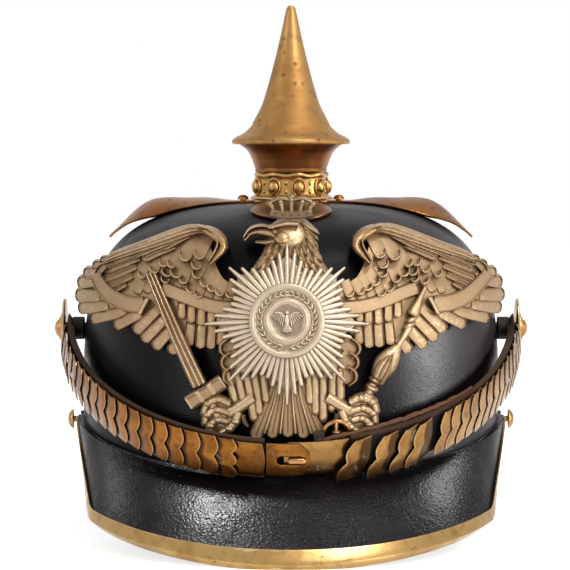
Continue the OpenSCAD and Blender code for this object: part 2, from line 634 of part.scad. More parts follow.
module sword() {
    blade = [[-57, 115], [-50.3, 99.5], [-43.6, 84], [-37, 68.6]];
    for (i = [0:2]) bar(blade[i], blade[i + 1], 2 + i * 0.3, 2.3 + i * 0.3, 4, 0.6);
    guard = [[-43.5, 60], [-36, 65], [-28.5, 70]];
    for (i = [0:1]) bar(guard[i], guard[i + 1], 3.6, 3.4, 4.4);
    bar([-34.5, 62], [-30, 56], 2.6, 2.8, 4);
}
module sceptre() {
    bar([54.5, 108.5], [51, 98], 0.9, 2.6, 4.4);
    bead([50, 93.6], 3, 2.4, 4);
    bar([47.5, 91.5], [42, 80], 1.4, 3.2, 4.2);
    bar([42, 82], [38, 74.5], 3.6, 4.6, 4.8);
    bar([37, 73], [33, 67], 2.8, 2.6, 4.2);
    bar([33, 67], [29.5, 60], 1.8, 1.8, 3.8);
}
module claw(side, foot) {
    // Toes that grip the hilt or the staff
    for (i = [0:2]) bead([foot.x - side * 1.5, foot.y + 9 - i * 4.1], 3.5, 2.6, 5 - i * 0.8);
    bar([side * 15, 63], [foot.x - side * 2.5, foot.y + 7], 3, 3.2, 4.2);
    bar([foot.x - side * 6, foot.y + 7], [foot.x - side * 5, foot.y - 1], 2.4, 2, 3.4);
}
module eagle_body() {
    // Half width of the body, and height
    breast = [[20, 66], [22, 76], [22, 88], [22, 100], [20, 110], [15.5, 116], [10.5, 124], [9, 131], [7, 136]];
    grid = function (h, crown) [for (r = breast)
        [for (t = [-1, -0.5, 0, 0.5, 1]) on_eagle(t * r.x, r.y, h + crown * (1 - t * t))]];
    sheet(grid(eagle_t, 0.9), grid(0, 0));
    // Neck feathers
    for (i = [0:3]) bar([-6 + i * 4, 123], [-10 + i * 6.7, 116], 1.9, 2.6, 2.8);
    // Head, brow and beak
    bead([0, 130.6], 8.4, 6.2, 5.6);
    bar([2, 133.4], [-8, 132.6], 2, 2, 6.4);
    bar([-6, 130.5], [-14, 130.6], 3, 2, 4.6);
    bar([-13.5, 130.4], [-17, 127.6], 2, 0.9, 4);
    bar([-7, 126.4], [-13, 126.6], 1.3, 0.8, 4);
    // Thigh feathers, side curls and tail fan
    for (i = [0:3]) bar([-18.4 + i * 3.7, 74], [-19 + i * 3.7, 61.5 - abs(i - 1.5)], 1.9, 1.8, 3.2);
    for (i = [0:3]) bar([7.6 + i * 3.7, 74], [8.4 + i * 3.7, 61.5 - abs(i - 1.5)], 1.9, 1.8, 3.2);
    for (side = [-1, 1]) for (i = [0:2]) bead([side * (25.4 - i * 0.6), 84 - i * 5.4], 3.6, 3.2, 3.4);
    for (i = [0:5]) bar([-4.6 + i * 1.8, 72], [-15.4 + i * 5.4, 50.5], 1.4, 2.6, 2.4 + (i % 2) * 0.4);
    claw(-1, [-27, 50]);
    claw(1, [31, 50]);
}
module eagle_plate() {
    color(pale_gold) union() {
        eagle_body();
        for (side = [-1, 1]) wing(side);
        ribbons();
        sword();
        sceptre();
    }
}
// Pierced crown, standing on the eagle's head clear of the dome
crown_z = 136.2;
module eagle_crown() {
    y = on_eagle(0, crown_z, 3).y;
    color(pale_gold) translate([0, y, crown_z]) rotate([90, 0, 0]) linear_extrude(2.4) {
        translate([-9.6, 0]) square([19.2, 2.2]);
        for (i = [-2:2]) {
            translate([i * 4.3, 5.6 - abs(i) * 0.7]) circle(r = 1.5, $fn = 24);
            translate([i * 4.3 - 0.8, 1]) square([1.6, 4 - abs(i) * 0.6]);
        }
        difference() {
            translate([0, 1]) circle(r = 7.6);
            translate([0, 1]) circle(r = 6);
            translate([-10, -12]) square([20, 13]);
        }
        translate([0, 8.6]) circle(r = 1.2, $fn = 24);
    }
}
module eagle_posts() {
    color(bronze_brass) for (side = [-1, 1])
        translate([side * eagle_post_x, on_eagle(eagle_post_x, eagle_post_z, 0).y + 1.3, eagle_post_z])
            rotate([-90, 0, 0]) cylinder(r = eagle_post_r, h = 17);
}
module eagle_post_nuts() {
    inner_y = dome_y(eagle_post_x, eagle_post_z, -skull_wall);
    color(steel) for (side = [-1, 1]) translate([side * eagle_post_x, inner_y + 4.2, eagle_post_z])
        rotate([-90, 0, 0]) difference() {
            cylinder(r = 3.2, h = 2, $fn = 6);
            translate([0, 0, -1]) cylinder(r = eagle_post_r, h = 4);
        }
}

/* Star: domed, fluted and eight-pointed, with its medallion */
star_x = -1.8;
star_lean = 12.7;
star_off = eagle_gap + eagle_t + 3.6;
star_flat_r = 12;
module on_star() {
    translate([star_x, dome_y(star_x, star_z, star_off), star_z]) rotate([90 - star_lean, 0, 0]) children();
}
// Radius of the ray tips: long at the eight points, short in the notches
function ray_r(a) = let (m = abs((a + 382.5) % 45 - 22.5) / 22.5) mix(star_r, star_notch_r, pow(m, 0.8));
// How far the star bends back: more towards the top, where the dome falls away
function star_drop(r, a) = (7 + 2 * sin(a)) * pow(max(r - star_flat_r, 0) / (star_r - star_flat_r), 1.35);
function star_row(r_of, up, groove) = [for (j = [0:2 * star_flutes - 1])
    let (a = j * 180 / star_flutes, r = r_of(a) * (j % 2 == 0 ? 1 : groove))
    [r * cos(a), r * sin(a), up - star_drop(r, a)]];
function star_grid(up, flute) = [
    star_row(function (a) 3, up, 1),
    star_row(function (a) medallion_r + 1, up + flute, 1),
    star_row(function (a) ray_r(a), up - 0.2, 0.87)];
module star_badge() {
    color(silver_gilt) on_star() sheet(star_grid(star_t, 0.5), star_grid(0, 0), ring = true);
}
module star_medallion() {
    r = medallion_r;
    z0 = star_t + 0.6;
    color(silver_gilt) on_star() rotate_extrude() polygon([
        [0, -2.4], [2.6, -2.4], [2.6, z0], [r, z0], [r, z0 + 1], [r - 0.6, z0 + 1.6], [r - 1.8, z0 + 1.6],
        [r - 2.4, z0 + 1], [r - 5.6, z0 + 1], [r - 6.2, z0 + 1.7], [r - 7.4, z0 + 1.7], [r - 8, z0 + 1.1], [0, z0 + 1.5]]);
}

/* Inside: sweatband, tongues and drawstring */
band_off = -skull_wall - clear;
function band_grid(off) = [for (f = [0, 0.5, 1]) [for (j = [0:35]) let (a = j * 10)
    wall_point(a, mix(rim_z(a) + 1, sweatband_top_z, f), off)]];
module sweatband() {
    color(liner_leather) sheet(band_grid(band_off), band_grid(band_off - sweatband_t), ring = true);
}
tongue_off = band_off - sweatband_t - 0.8;
tongue_top_z = 108;
tongue_t = 1.2;
function tongue_point(a, f, half_a, off) =
    let (low = wall_point(a + half_a, sweatband_top_z - 8, off),
        high = [22 * sin(a + half_a * 1.5), -24 * cos(a + half_a * 1.5), tongue_top_z + off - tongue_off])
    mix([low.x, low.y, 0], [high.x, high.y, 0], f) * (1 + 0.22 * sin(f * 180) * (1 - f * 0.4))
        + [0, 0, mix(low.z, high.z, f)];
module liner_tongues() {
    half = 150 / tongue_count;
    grid = function (a, off) [for (f = [0, 0.12, 0.35, 0.6, 0.82, 1])
        [for (t = [-1, -0.33, 0.33, 1]) tongue_point(a, f, t * half * mix(1, 0.7, f), off)]];
    color(liner_leather) for (i = [0:tongue_count - 1]) let (a = (i + 0.5) * 360 / tongue_count)
        sheet(grid(a, tongue_off), grid(a, tongue_off - tongue_t));
}
module liner_cord() {
    cord_r = 1.1;
    color(brown_leather) translate([0, 0, tongue_top_z + cord_r + 0.2])
        rotate_extrude() translate([22.6, 0]) circle(r = cord_r, $fn = 24);
}

/* Chin-strap frame: boss axis as X, the strap's plane tilted down to the front */
module strap_frame() {
    translate([0, 0, boss_z]) rotate([strap_tilt, 0, 0]) children();
}
strap_half_w = skull_half_w + strap_side_gap;
strap_reach = skull_half_l + strap_front_gap;
function strap_xy(q, off) = [(strap_half_w + off) * sin(q), -(strap_reach + off) * cos(q)];
function arc_sum(i) = i == 0 ? 0 : arc_sum(i - 1) + norm(strap_xy(i * 2, 1) - strap_xy(i * 2 - 2, 1));
arc_table = [for (i = [0:45]) [arc_sum(i), i * 2]];
strap_arc_l = arc_table[45][0];
// Place on the strap: distance from the front middle, outward offset, and height across the strap
function on_strap(s, off, w) =
    let (q = lookup(abs(s), arc_table), p = strap_xy(q, off), past = max(abs(s) - strap_arc_l, 0))
    [p.x * sign(s), p.y + past, w];
strap_out = strap_half_w + strap_t;

module boss_hole() {
    strap_frame() rotate([0, 90, 0]) cylinder(r = post_r + running_fit, h = 260, center = true);
}
module strap_leather(side, from_s) {
    // The leather narrows to a round lug that turns on the post
    steps = 20;
    stations = [for (i = [0:steps]) mix(from_s, strap_arc_l - 9, i / steps)];
    lug = [[-5, 7], [0, 6.6], [4, 5.4], [6.4, 2.6]];
    rows = function (off) concat(
        [for (s = stations) [for (t = [-1, 1]) on_strap(side * s, off, t * strap_w / 2)]],
        [for (l = lug) [for (t = [-1, 1]) on_strap(side * (strap_arc_l + l[0]), off, t * l[1])]]);
    difference() {
        strap_frame() sheet(rows(strap_t), rows(0));
        boss_hole();
    }
}
left_leather_from = 11;
right_leather_from = 24.4;
module left_strap_leather() { color(brown_leather) strap_leather(-1, left_leather_from); }
module right_strap_leather() { color(brown_leather) strap_leather(1, right_leather_from); }

end_plate_x = strap_out + 1;
module end_plate(side) {
    color(bronze_brass) difference() {
        translate([side * (end_plate_x + 0.5), 0, boss_z]) rotate([0, 90, 0])
            cylinder(r = end_plate_r, h = 1, center = true);
        boss_hole();
    }
}
module left_end_plate() { end_plate(-1); }
module right_end_plate() { end_plate(1); }

// One scale: its hidden end towards the front lies low, and its lobed free edge lies over the next
function scale_edge(t, lobes) = 1.9 * (1 - abs(sin((t + 1) * 90 * lobes)));
function scale_row(side, s, f, lobes, off, w) = [for (i = [-3:3])
    let (t = i / 3, at = s - f * (scale_l - scale_edge(t, lobes)), crown = 1.1 * (1 - t * t) - 0.5)
    on_strap(side * at, strap_t + 0.3 + f * scale_rise + crown + off, t * w / 2)];
module scale_plate(side, s, lobes = 2, w = scale_w) {
    grid = function (off) [for (f = [0, 0.5, 1]) scale_row(side, s, f, lobes, off + 0.5, w * mix(0.9, 1, f))];
    sheet(grid(scale_t), grid(0));
}
// Scales overlap from the boss towards the front, evenly on the left
scale_last = strap_arc_l - end_plate_r - 0.6;
left_scales_end = 33.2;
module left_scales() {
    color(orange_brass) strap_frame()
        for (i = [0:scale_count - 1]) scale_plate(-1, mix(scale_last, left_scales_end, i / (scale_count - 1)),
                lobes = i == scale_count - 1 ? 3 : 2);
}
// On the right the last few have slid apart along the strap, and the rest crowd towards the boss
slid_at = [61.5, 54, 44, 31.6];
crowd_end = 80;
crowded = scale_count - len(slid_at);
function right_at(i) = i < crowded ? mix(scale_last, crowd_end, i / (crowded - 1)) : slid_at[i - crowded];
module right_scales() {
    color(olive_brass) strap_frame() for (i = [0:scale_count - 1]) scale_plate(1, right_at(i));
}

// Plain plates at the front: the slotted tongue of the left half lies over the hook plate of the right
function plate_grid(s0, s1, off, w, ends) = [for (i = [0:8]) let (f = i / 8, s = mix(s0, s1, f))
    [for (t = [-1, -0.5, 0, 0.5, 1]) let (bow = ends[0] * (1 - f) + ends[1] * f)
        on_strap_signed(s + bow * t * t, off - 0.5 * t * t, t * w / 2)]];
function on_strap_signed(s, off, w) = let (p = on_strap(abs(s), off, w)) [s < 0 ? -p.x : p.x, p.y, p.z];
hook_off = 0.6;
front_off = strap_t + 0.8;
tongue_plate_off = hook_off + plate_t + clear + 0.2;
module left_front_plate() {
    color(orange_brass) strap_frame()
        sheet(plate_grid(-27, -10.6, front_off + plate_t, plate_w, [0, -1.2]),
            plate_grid(-27, -10.6, front_off, plate_w, [0, -1.2]));
}
slot_l = 10.6;
slot_w = 3.6;
slot_x = -0.6;
module left_slotted_plate() {
    color(orange_brass) strap_frame() difference() {
        sheet(plate_grid(-10, 7.6, tongue_plate_off + plate_t, plate_w, [0, -4.5]),
            plate_grid(-10, 7.6, tongue_plate_off, plate_w, [0, -4.5]));
        translate([slot_x, -strap_reach, 0]) rotate([90, 0, 0]) {
            cube([slot_l - slot_w, slot_w, 16], center = true);
            for (e = [-1, 1]) translate([e * (slot_l - slot_w) / 2, 0, 0])
                cylinder(r = slot_w / 2, h = 16, center = true);
        }
    }
}
module right_hook_plate() {
    color(olive_brass) strap_frame()
        sheet(plate_grid(-3, 23.6, hook_off + plate_t, plate_w, [1.5, 0]),
            plate_grid(-3, 23.6, hook_off, plate_w, [1.5, 0]));
}
// Stud of the hook plate: a neck through the slot and a long head over it
module hook_stud() {
    neck_y = strap_reach + hook_off + plate_t;
    head_y = strap_reach + tongue_plate_off + plate_t + clear + 0.1;
    color(yellow_brass) strap_frame() rotate([90, 0, 0]) union() {
        translate([1.6, 0, neck_y]) cylinder(r = 1.2, h = head_y + 0.6 - neck_y);
        translate([0, 0, head_y]) {
            for (x = [0, 4.6]) translate([x, 0, 0]) cylinder(r = 1.4, h = 1.4);
            translate([0, -1.4, 0]) cube([4.6, 2.8, 1.4]);
        }
    }
}

// Loose leather strap behind the right half, with keeper and buckle
loose_off = -strap_t - 1.15;
loose_w = 10;
loose_up = 1.5;
loose_from = 4;
loose_to = 98;
module loose_strap() {
    steps = 18;
    rows = function (off) [for (i = [0:steps]) let (f = i / steps, s = mix(loose_from, loose_to, f),
        w = loose_w * min(0.35 + 5 * f, 1), up = loose_up + 3 * sin(f * 180))
        [for (t = [-1, 1]) on_strap(s, off, up + t * w / 2)]];
    color(dark_leather) strap_frame() sheet(rows(loose_off + strap_t), rows(loose_off));
}
keeper_s = 11.4;
buckle_s = 19;
keeper_wall = 0.7;
module strap_keeper() {
    p = on_strap(keeper_s, loose_off, 0);
    turn = lookup(keeper_s, arc_table);
    room = strap_t + 2 * clear;
    color(dark_leather) strap_frame() translate([p.x, p.y, loose_up + 1.5]) rotate([0, 0, turn * 0.9])
        translate([0, -strap_t / 2, 0]) difference() {
            cube([4, room + 2 * keeper_wall, loose_w + 2 + 2 * keeper_wall], center = true);
            cube([6, room, loose_w + 2], center = true);
        }
}
buckle_h = 6;
buckle_bar_r = 0.9;
module on_buckle() {
    p = on_strap(buckle_s, loose_off, 0);
    strap_frame() translate([p.x, p.y + 2.4, loose_up + 6]) rotate([0, 0, lookup(buckle_s, arc_table) * 0.9])
        children();
}
module buckle_frame() {
    color(yellow_brass) on_buckle() union() {
        rotate([90, 0, 0]) difference() {
            cylinder(r = buckle_h, h = 1.6, center = true);
            cylinder(r = buckle_h - 1.7, h = 4, center = true);
        }
        cylinder(r = buckle_bar_r, h = 2 * buckle_h - 2, center = true);
    }
}
module buckle_prong() {
    color(yellow_brass) on_buckle() difference() {
        union() {
            cylinder(r = buckle_bar_r + 1, h = 2.2, center = true);
            translate([0, 1, -0.8]) cube([buckle_h - 2, 0.9, 1.6]);
        }
        cylinder(r = buckle_bar_r + running_fit, h = 6, center = true);
    }
}

/* Bosses and their posts: the strap halves turn here */
collar_x = skull_half_w - 0.2;
post_from = skull_half_w - skull_wall - 5;
module boss_post(side) {
    tip = end_plate_x + 1 + clear + 0.4;
    color(bronze_brass) mirror([side < 0 ? 1 : 0, 0, 0]) translate([0, 0, boss_z]) turned_along_x([
        [post_from, 0], [post_from, post_r], [collar_x, post_r], [collar_x, post_r + 2.5],
        [strap_half_w - clear, post_r + 2.5], [strap_half_w - clear, post_r], [tip, post_r], [tip, 0]]);
}
module left_boss_post() { boss_post(-1); }
module right_boss_post() { boss_post(1); }
module post_nut(side) {
    color(steel) translate([side * (skull_half_w - skull_wall - 3), 0, boss_z]) rotate([0, 90, 0]) difference() {
        cylinder(r = 4.6, h = 2.4, $fn = 6, center = true);
        cylinder(r = post_r, h = 6, center = true);
    }
}
module left_post_nut() { post_nut(-1); }
module right_post_nut() { post_nut(1); }
module boss(side) {
    x0 = end_plate_x + 1 + clear;
    r = boss_r;
    color(bronze_brass) mirror([side < 0 ? 1 : 0, 0, 0]) translate([0, 0, boss_z]) turned_along_x([
        [x0, post_r], [x0, r], [x0 + 0.8, r - 0.2], [x0 + 1, r - 1.8], [x0 + 1.6, r - 2.1], [x0 + 1.9, r - 3],
        [x0 + 2.7, r - 3.5], [x0 + 3.3, r - 4.6], [x0 + 3.7, 0], [x0 + 0.4, 0], [x0 + 0.4, post_r]]);
}
module left_boss() { boss(-1); }
module right_boss() { boss(1); }

skull_shell();
front_peak();
rear_peak();
front_peak_lining();
rear_peak_lining();
front_peak_trim();
trim_end_rivets();
rear_spine();
rear_spine_studs();
cross_base();
base_screws();
base_nuts();
spike_socket();
socket_nut();
eagle_plate();
eagle_crown();
eagle_posts();
eagle_post_nuts();
star_badge();
star_medallion();
sweatband();
liner_tongues();
liner_cord();
left_boss_post();
right_boss_post();
left_post_nut();
right_post_nut();
left_boss();
right_boss();
left_strap_leather();
left_end_plate();
left_scales();
left_front_plate();
left_slotted_plate();
right_strap_leather();
right_end_plate();
right_scales();
right_hook_plate();
hook_stud();
loose_strap();
strap_keeper();
buckle_frame();
buckle_prong();
pearl_ring();
spike_cone();
spike_neck();
spike_stud();
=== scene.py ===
# %% [markdown]
# # A spiked leather helmet with an eagle plate
#
# This lesson dresses a finished CAD model of an old parade helmet: black lacquered leather,
# a stamped brass eagle with a silvered star, and chin-scales on two side bosses.
# The CAD model gives every size. Blender adds the forms that sheet metal and leather have in life,
# such as feathers, worn edges and grain, and then the light.

# %% Load the frame
import json
import math
from contextlib import contextmanager

import bpy
import numpy as np
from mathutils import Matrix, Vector


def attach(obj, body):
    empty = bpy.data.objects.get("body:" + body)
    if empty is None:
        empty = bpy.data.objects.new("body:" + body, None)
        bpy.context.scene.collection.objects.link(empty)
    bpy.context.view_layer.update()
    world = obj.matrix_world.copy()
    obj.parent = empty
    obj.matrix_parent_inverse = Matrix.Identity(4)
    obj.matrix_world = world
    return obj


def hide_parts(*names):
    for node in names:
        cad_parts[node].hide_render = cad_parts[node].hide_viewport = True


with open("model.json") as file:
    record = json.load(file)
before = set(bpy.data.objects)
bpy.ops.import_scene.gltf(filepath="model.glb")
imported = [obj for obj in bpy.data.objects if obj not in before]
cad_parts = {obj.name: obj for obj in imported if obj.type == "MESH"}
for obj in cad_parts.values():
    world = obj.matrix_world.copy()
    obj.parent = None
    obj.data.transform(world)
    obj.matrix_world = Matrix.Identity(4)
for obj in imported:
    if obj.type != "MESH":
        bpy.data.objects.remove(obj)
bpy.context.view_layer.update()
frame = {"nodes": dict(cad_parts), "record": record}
nodes = frame["nodes"]
MM = 0.001

# %% [markdown]
# ## Camera
#
# The photograph was taken from in front and a little above, from far enough away that the sides
# hardly converge. A long lens at 1.3 metres gives the same look. The aim is a point on the
# helmet's middle plane, a hair to the side, because the helmet stands right of the picture's middle.

# %% Camera
CAMERA_DISTANCE = 1.3
CAMERA_UP = math.radians(3)
AIM = Vector((-0.0026, 0, 0.1044))

camera_data = bpy.data.cameras.new("camera")
camera_data.lens = 186.6
camera_data.sensor_width = 36
camera = bpy.data.objects.new("camera", camera_data)
camera.location = AIM + CAMERA_DISTANCE * Vector((0, -math.cos(CAMERA_UP), math.sin(CAMERA_UP)))
camera.rotation_euler = (math.radians(90) - CAMERA_UP, 0, 0)
bpy.context.collection.objects.link(camera)
bpy.context.scene.camera = camera
print("camera at", [round(c, 3) for c in camera.location])

# %% [markdown]
# ## Small helpers for modelling
#
# An operator works on whatever is selected, so each piece is made in the same order: deselect all,
# add a primitive, open it in edit mode with all of it or a few faces picked by their place, and
# shape it. Pieces are modelled in millimetres and shrunk to metres at the end, which keeps the
# numbers readable.

# %% Helpers for selecting and editing
def clear_selection():
    """Object mode with nothing selected, so that no operator acts on a piece by mistake."""
    if bpy.context.object and bpy.context.object.mode != "OBJECT":
        bpy.ops.object.mode_set(mode="OBJECT")
    bpy.ops.object.select_all(action="DESELECT")


def take(*pieces):
    """Selects only these pieces and makes the first one active."""
    clear_selection()
    for piece in pieces:
        piece.select_set(True)
    bpy.context.view_layer.objects.active = pieces[0]
    return pieces[0]


def named(name):
    """Names the primitive that was just added."""
    piece = bpy.context.object
    piece.name = name
    piece.data.name = name
    return piece


@contextmanager
def editing(piece, kind="VERT", rule=None):
    """Edit mode with all of the piece selected, or only the faces whose middle follows the rule."""
    take(piece)
    bpy.ops.object.mode_set(mode="EDIT")
    bpy.ops.mesh.select_mode(type=kind)
    bpy.ops.mesh.select_all(action="DESELECT" if rule else "SELECT")
    if rule:
        bpy.ops.object.mode_set(mode="OBJECT")
        for face in piece.data.polygons:
            face.select = rule(face.center)
        bpy.ops.object.mode_set(mode="EDIT")
    yield
    bpy.ops.object.mode_set(mode="OBJECT")


def reshape(piece, rule):
    """Moves every corner: the rule gets columns x, y and z, and gives back new ones."""
    count = len(piece.data.vertices)
    flat = np.empty(count * 3)
    piece.data.vertices.foreach_get("co", flat)
    moved = np.zeros((count, 3))
    for axis, column in enumerate(rule(*flat.reshape(-1, 3).T)):
        moved[:, axis] = column
    piece.data.vertices.foreach_set("co", moved.ravel())
    piece.data.update()
    return piece


def write_attribute(piece, name, rule):
    """Stores one number per corner, worked out from its place, for a material to read."""
    count = len(piece.data.vertices)
    flat = np.empty(count * 3)
    piece.data.vertices.foreach_get("co", flat)
    values = np.zeros(count)
    values[:] = rule(*flat.reshape(-1, 3).T)
    layer = piece.data.attributes.get(name) or piece.data.attributes.new(name, "FLOAT", "POINT")
    layer.data.foreach_set("value", values)
    return piece


def copy_of(piece, name=None):
    """A copy with its own mesh."""
    twin = piece.copy()
    twin.data = piece.data.copy()
    twin.name = name or piece.name
    bpy.context.collection.objects.link(twin)
    return twin


def join(pieces, name):
    """One object from several."""
    take(*pieces)
    if len(pieces) > 1:
        bpy.ops.object.join()
    return named(name)


def drop(*pieces):
    """Removes patterns that were only there to be copied."""
    for piece in pieces:
        bpy.data.objects.remove(piece, do_unlink=True)


def add_modifier(piece, kind, **settings):
    """Adds a modifier, sets it and applies it."""
    take(piece)
    modifier = piece.modifiers.new(kind.title(), kind)
    for key, value in settings.items():
        setattr(modifier, key, value)
    bpy.ops.object.modifier_apply(modifier=modifier.name)
    return piece


def face_outward(piece):
    """Turns every closed shell the right way out."""
    with editing(piece):
        bpy.ops.mesh.normals_make_consistent(inside=False)
    return piece


def close_up(piece, gap=0.004):
    """Merges doubled corners and turns every closed shell the right way out."""
    with editing(piece):
        bpy.ops.mesh.remove_doubles(threshold=gap)
        bpy.ops.mesh.normals_make_consistent(inside=False)
    return piece


def sheet_to_shell(piece, thickness, bevel, segments):
    """Gives an open sheet, whose top looks up, its thickness downward and a small bevel on the edges."""
    face_outward(piece)
    if sum(face.normal.z for face in piece.data.polygons) < 0:
        with editing(piece):
            bpy.ops.mesh.flip_normals()
    add_modifier(piece, "SOLIDIFY", thickness=thickness, offset=-1)
    return bevel_edges(piece, bevel, segments, 50)


def bevel_edges(piece, width, segments, angle):
    """Rounds the edges sharper than the angle."""
    return add_modifier(piece, "BEVEL", width=width, segments=segments, limit_method="ANGLE",
                        angle_limit=math.radians(angle))


def finish_piece(piece, body, slot, *replaced, finish=None, angle=40, unit=MM):
    """The last steps of every piece: metres, smooth shading, finish, body and the nodes it stands for."""
    if unit != 1:
        reshape(piece, lambda x, y, z: (x * unit, y * unit, z * unit))
    take(piece)
    bpy.ops.object.shade_smooth_by_angle(angle=math.radians(angle))
    piece.data.materials.clear()
    piece.data.materials.append(FINISHES[finish or slot])
    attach(piece, body)
    if replaced:
        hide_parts(*replaced)
    print(piece.name, "has", len(piece.data.polygons), "faces")
    return piece


# %% Helpers for smooth curves and turned pieces
def flow(stations, values):
    """A smooth curve through the values at the stations, as a function."""
    xs = np.array(stations, float)
    ys = np.array(values, float)
    slope = np.gradient(ys, xs)

    def at(x):
        x = np.clip(x, xs[0], xs[-1])
        i = np.clip(np.searchsorted(xs, x, side="right") - 1, 0, len(xs) - 2)
        d = xs[i + 1] - xs[i]
        t = (x - xs[i]) / d
        left = ys[i] * (1 + 2 * t) * (1 - t) ** 2 + slope[i] * d * t * (1 - t) ** 2
        return left + ys[i + 1] * t * t * (3 - 2 * t) + slope[i + 1] * d * t * t * (t - 1)

    return at


def smooth_line(points, per=12):
    """A curve through [x, z] points, as many short steps."""
    p = np.array(points, float)
    ends = np.vstack([2 * p[0] - p[1], p, 2 * p[-1] - p[-2]])
    t = np.linspace(0, 1, per, endpoint=False)[:, None]
    out = []
    for i in range(len(p) - 1):
        a, b, c, d = ends[i:i + 4]
        out.append(0.5 * (2 * b + (c - a) * t + (2 * a - 5 * b + 4 * c - d) * t ** 2
                          + (3 * b - a - 3 * c + d) * t ** 3))
    return np.vstack(out + [p[-1:]])


def ring_rows(name, around, rows, radius=1.0):
    """A ring of corners, extruded up row by row, so that z is the number of the row."""
    clear_selection()
    bpy.ops.mesh.primitive_circle_add(vertices=around, radius=radius, location=(0, 0, 0))
    piece = named(name)
    with editing(piece):
        for row in range(rows):
            bpy.ops.mesh.extrude_region_move(TRANSFORM_OT_translate={"value": (0, 0, 1)})
    return piece


def turned(name, profile, around=96):
    """A turned piece about Z, with one ring of corners for each [radius, height] of the profile."""
    first = max(profile[0][0], 0.01)
    piece = ring_rows(name, around, len(profile) - 1, first)
    radii = np.array([max(p[0], 0.002) for p in profile])
    heights = np.array([p[1] for p in profile])

    def rule(x, y, z):
        row = np.rint(z).astype(int)
        return x / first * radii[row], y / first * radii[row], heights[row]

    reshape(piece, rule)
    return close_up(piece)


def block(name, across, along):
    """A flat grid from -1 to 1 across and 0 to 1 along, extruded up by 1 into a closed block."""
    clear_selection()
    bpy.ops.mesh.primitive_grid_add(x_subdivisions=across, y_subdivisions=along, size=2)
    piece = named(name)
    reshape(piece, lambda x, y, z: (x, y / 2 + 0.5, z))
    with editing(piece):
        bpy.ops.mesh.extrude_region_move(TRANSFORM_OT_translate={"value": (0, 0, 1)})
    return face_outward(piece)


def smooth_copy(node, name, levels=2):
    """A finer copy of a CAD node: its triangles become quads, sharp edges are creased, the rest rounds."""
    mesh = nodes[node].data.copy()
    mesh.name = name
    piece = bpy.data.objects.new(name, mesh)
    bpy.context.collection.objects.link(piece)
    take(piece)
    bpy.ops.mesh.customdata_custom_splitnormals_clear()
    with editing(piece, "EDGE"):
        bpy.ops.mesh.remove_doubles(threshold=1e-5)
        bpy.ops.mesh.tris_convert_to_quads(face_threshold=math.radians(50),
                                           shape_threshold=math.radians(70))
        bpy.ops.mesh.select_all(action="DESELECT")
        bpy.ops.mesh.edges_select_sharp(sharpness=math.radians(35))
        bpy.ops.transform.edge_crease(value=1)
    return add_modifier(piece, "SUBSURF", levels=levels, render_levels=levels)


print("helpers ready")

# %% [markdown]
# ## Finishes: shared effects
#
# Old brass is never one colour. It has soft clouds of tarnish, dark spots, fine scratches from
# polishing, and bare bright metal on the high places. Leather has a pore pattern and shallow
# wrinkles under its lacquer. Each of these effects is needed in several materials, so each is a
# shader node group: built once, with named inputs, and placed in every material with its own
# values. A group gives only masks and heights; the shader itself stays in the material.

# %% A helper that builds nodes
class Graph:
    """A node tree under construction. Each method adds nodes and gives back their result."""

    def __init__(self, tree, place=None):
        self.tree = tree
        self.place = place

    def put(self, value, socket):
        """Links a socket, or writes a plain value in."""
        if isinstance(value, bpy.types.NodeSocket):
            self.tree.links.new(value, socket)
        else:
            socket.default_value = value

    def node(self, kind, values=None, **settings):
        made = self.tree.nodes.new(kind)
        for key, value in settings.items():
            setattr(made, key, value)
        for key, value in (values or {}).items():
            self.put(value, made.inputs[key])
        return made

    def math(self, operation, a, b):
        return self.node("ShaderNodeMath", {0: a, 1: b}, operation=operation).outputs[0]

    def mul(self, a, b):
        return self.math("MULTIPLY", a, b)

    def sub(self, a, b):
        return self.math("SUBTRACT", a, b)

    def top(self, a, b):
        """The larger of two numbers."""
        return self.math("MAXIMUM", a, b)

    def add(self, total, *more):
        for term in more:
            total = self.math("ADD", total, term)
        return total

    def centred(self, value, amount):
        """A noise from 0 to 1 turned into one round zero."""
        return self.mul(self.sub(value, 0.5), amount)

    def noise(self, scale, detail=3.0, distort=0.0, place=None):
        place = self.place if place is None else place
        return self.node("ShaderNodeTexNoise", {"Vector": place, "Scale": scale, "Detail": detail,
                                                "Roughness": 0.55, "Distortion": distort}).outputs["Fac"]

    def between(self, value, low, high, to_low=0.0, to_high=1.0):
        """A soft step: to_low below low, to_high above high."""
        ends = {"Value": value, "From Min": low, "From Max": high, "To Min": to_low, "To Max": to_high}
        return self.node("ShaderNodeMapRange", ends, interpolation_type="SMOOTHSTEP").outputs["Result"]

    def blend(self, mask, a, b):
        """Colour a where the mask is 0 and b where it is 1."""
        made = self.node("ShaderNodeMix", data_type="RGBA")
        for value, socket in ((mask, 0), (a, 6), (b, 7)):
            self.put((*value, 1) if isinstance(value, tuple) else value, made.inputs[socket])
        return made.outputs[2]

    def straight_rays(self):
        """1 for camera, mirror and transparency rays, 0 for the rays that light things."""
        ray = self.node("ShaderNodeLightPath").outputs
        return self.top(ray["Is Camera Ray"], self.top(ray["Is Glossy Ray"], ray["Is Transmission Ray"]))


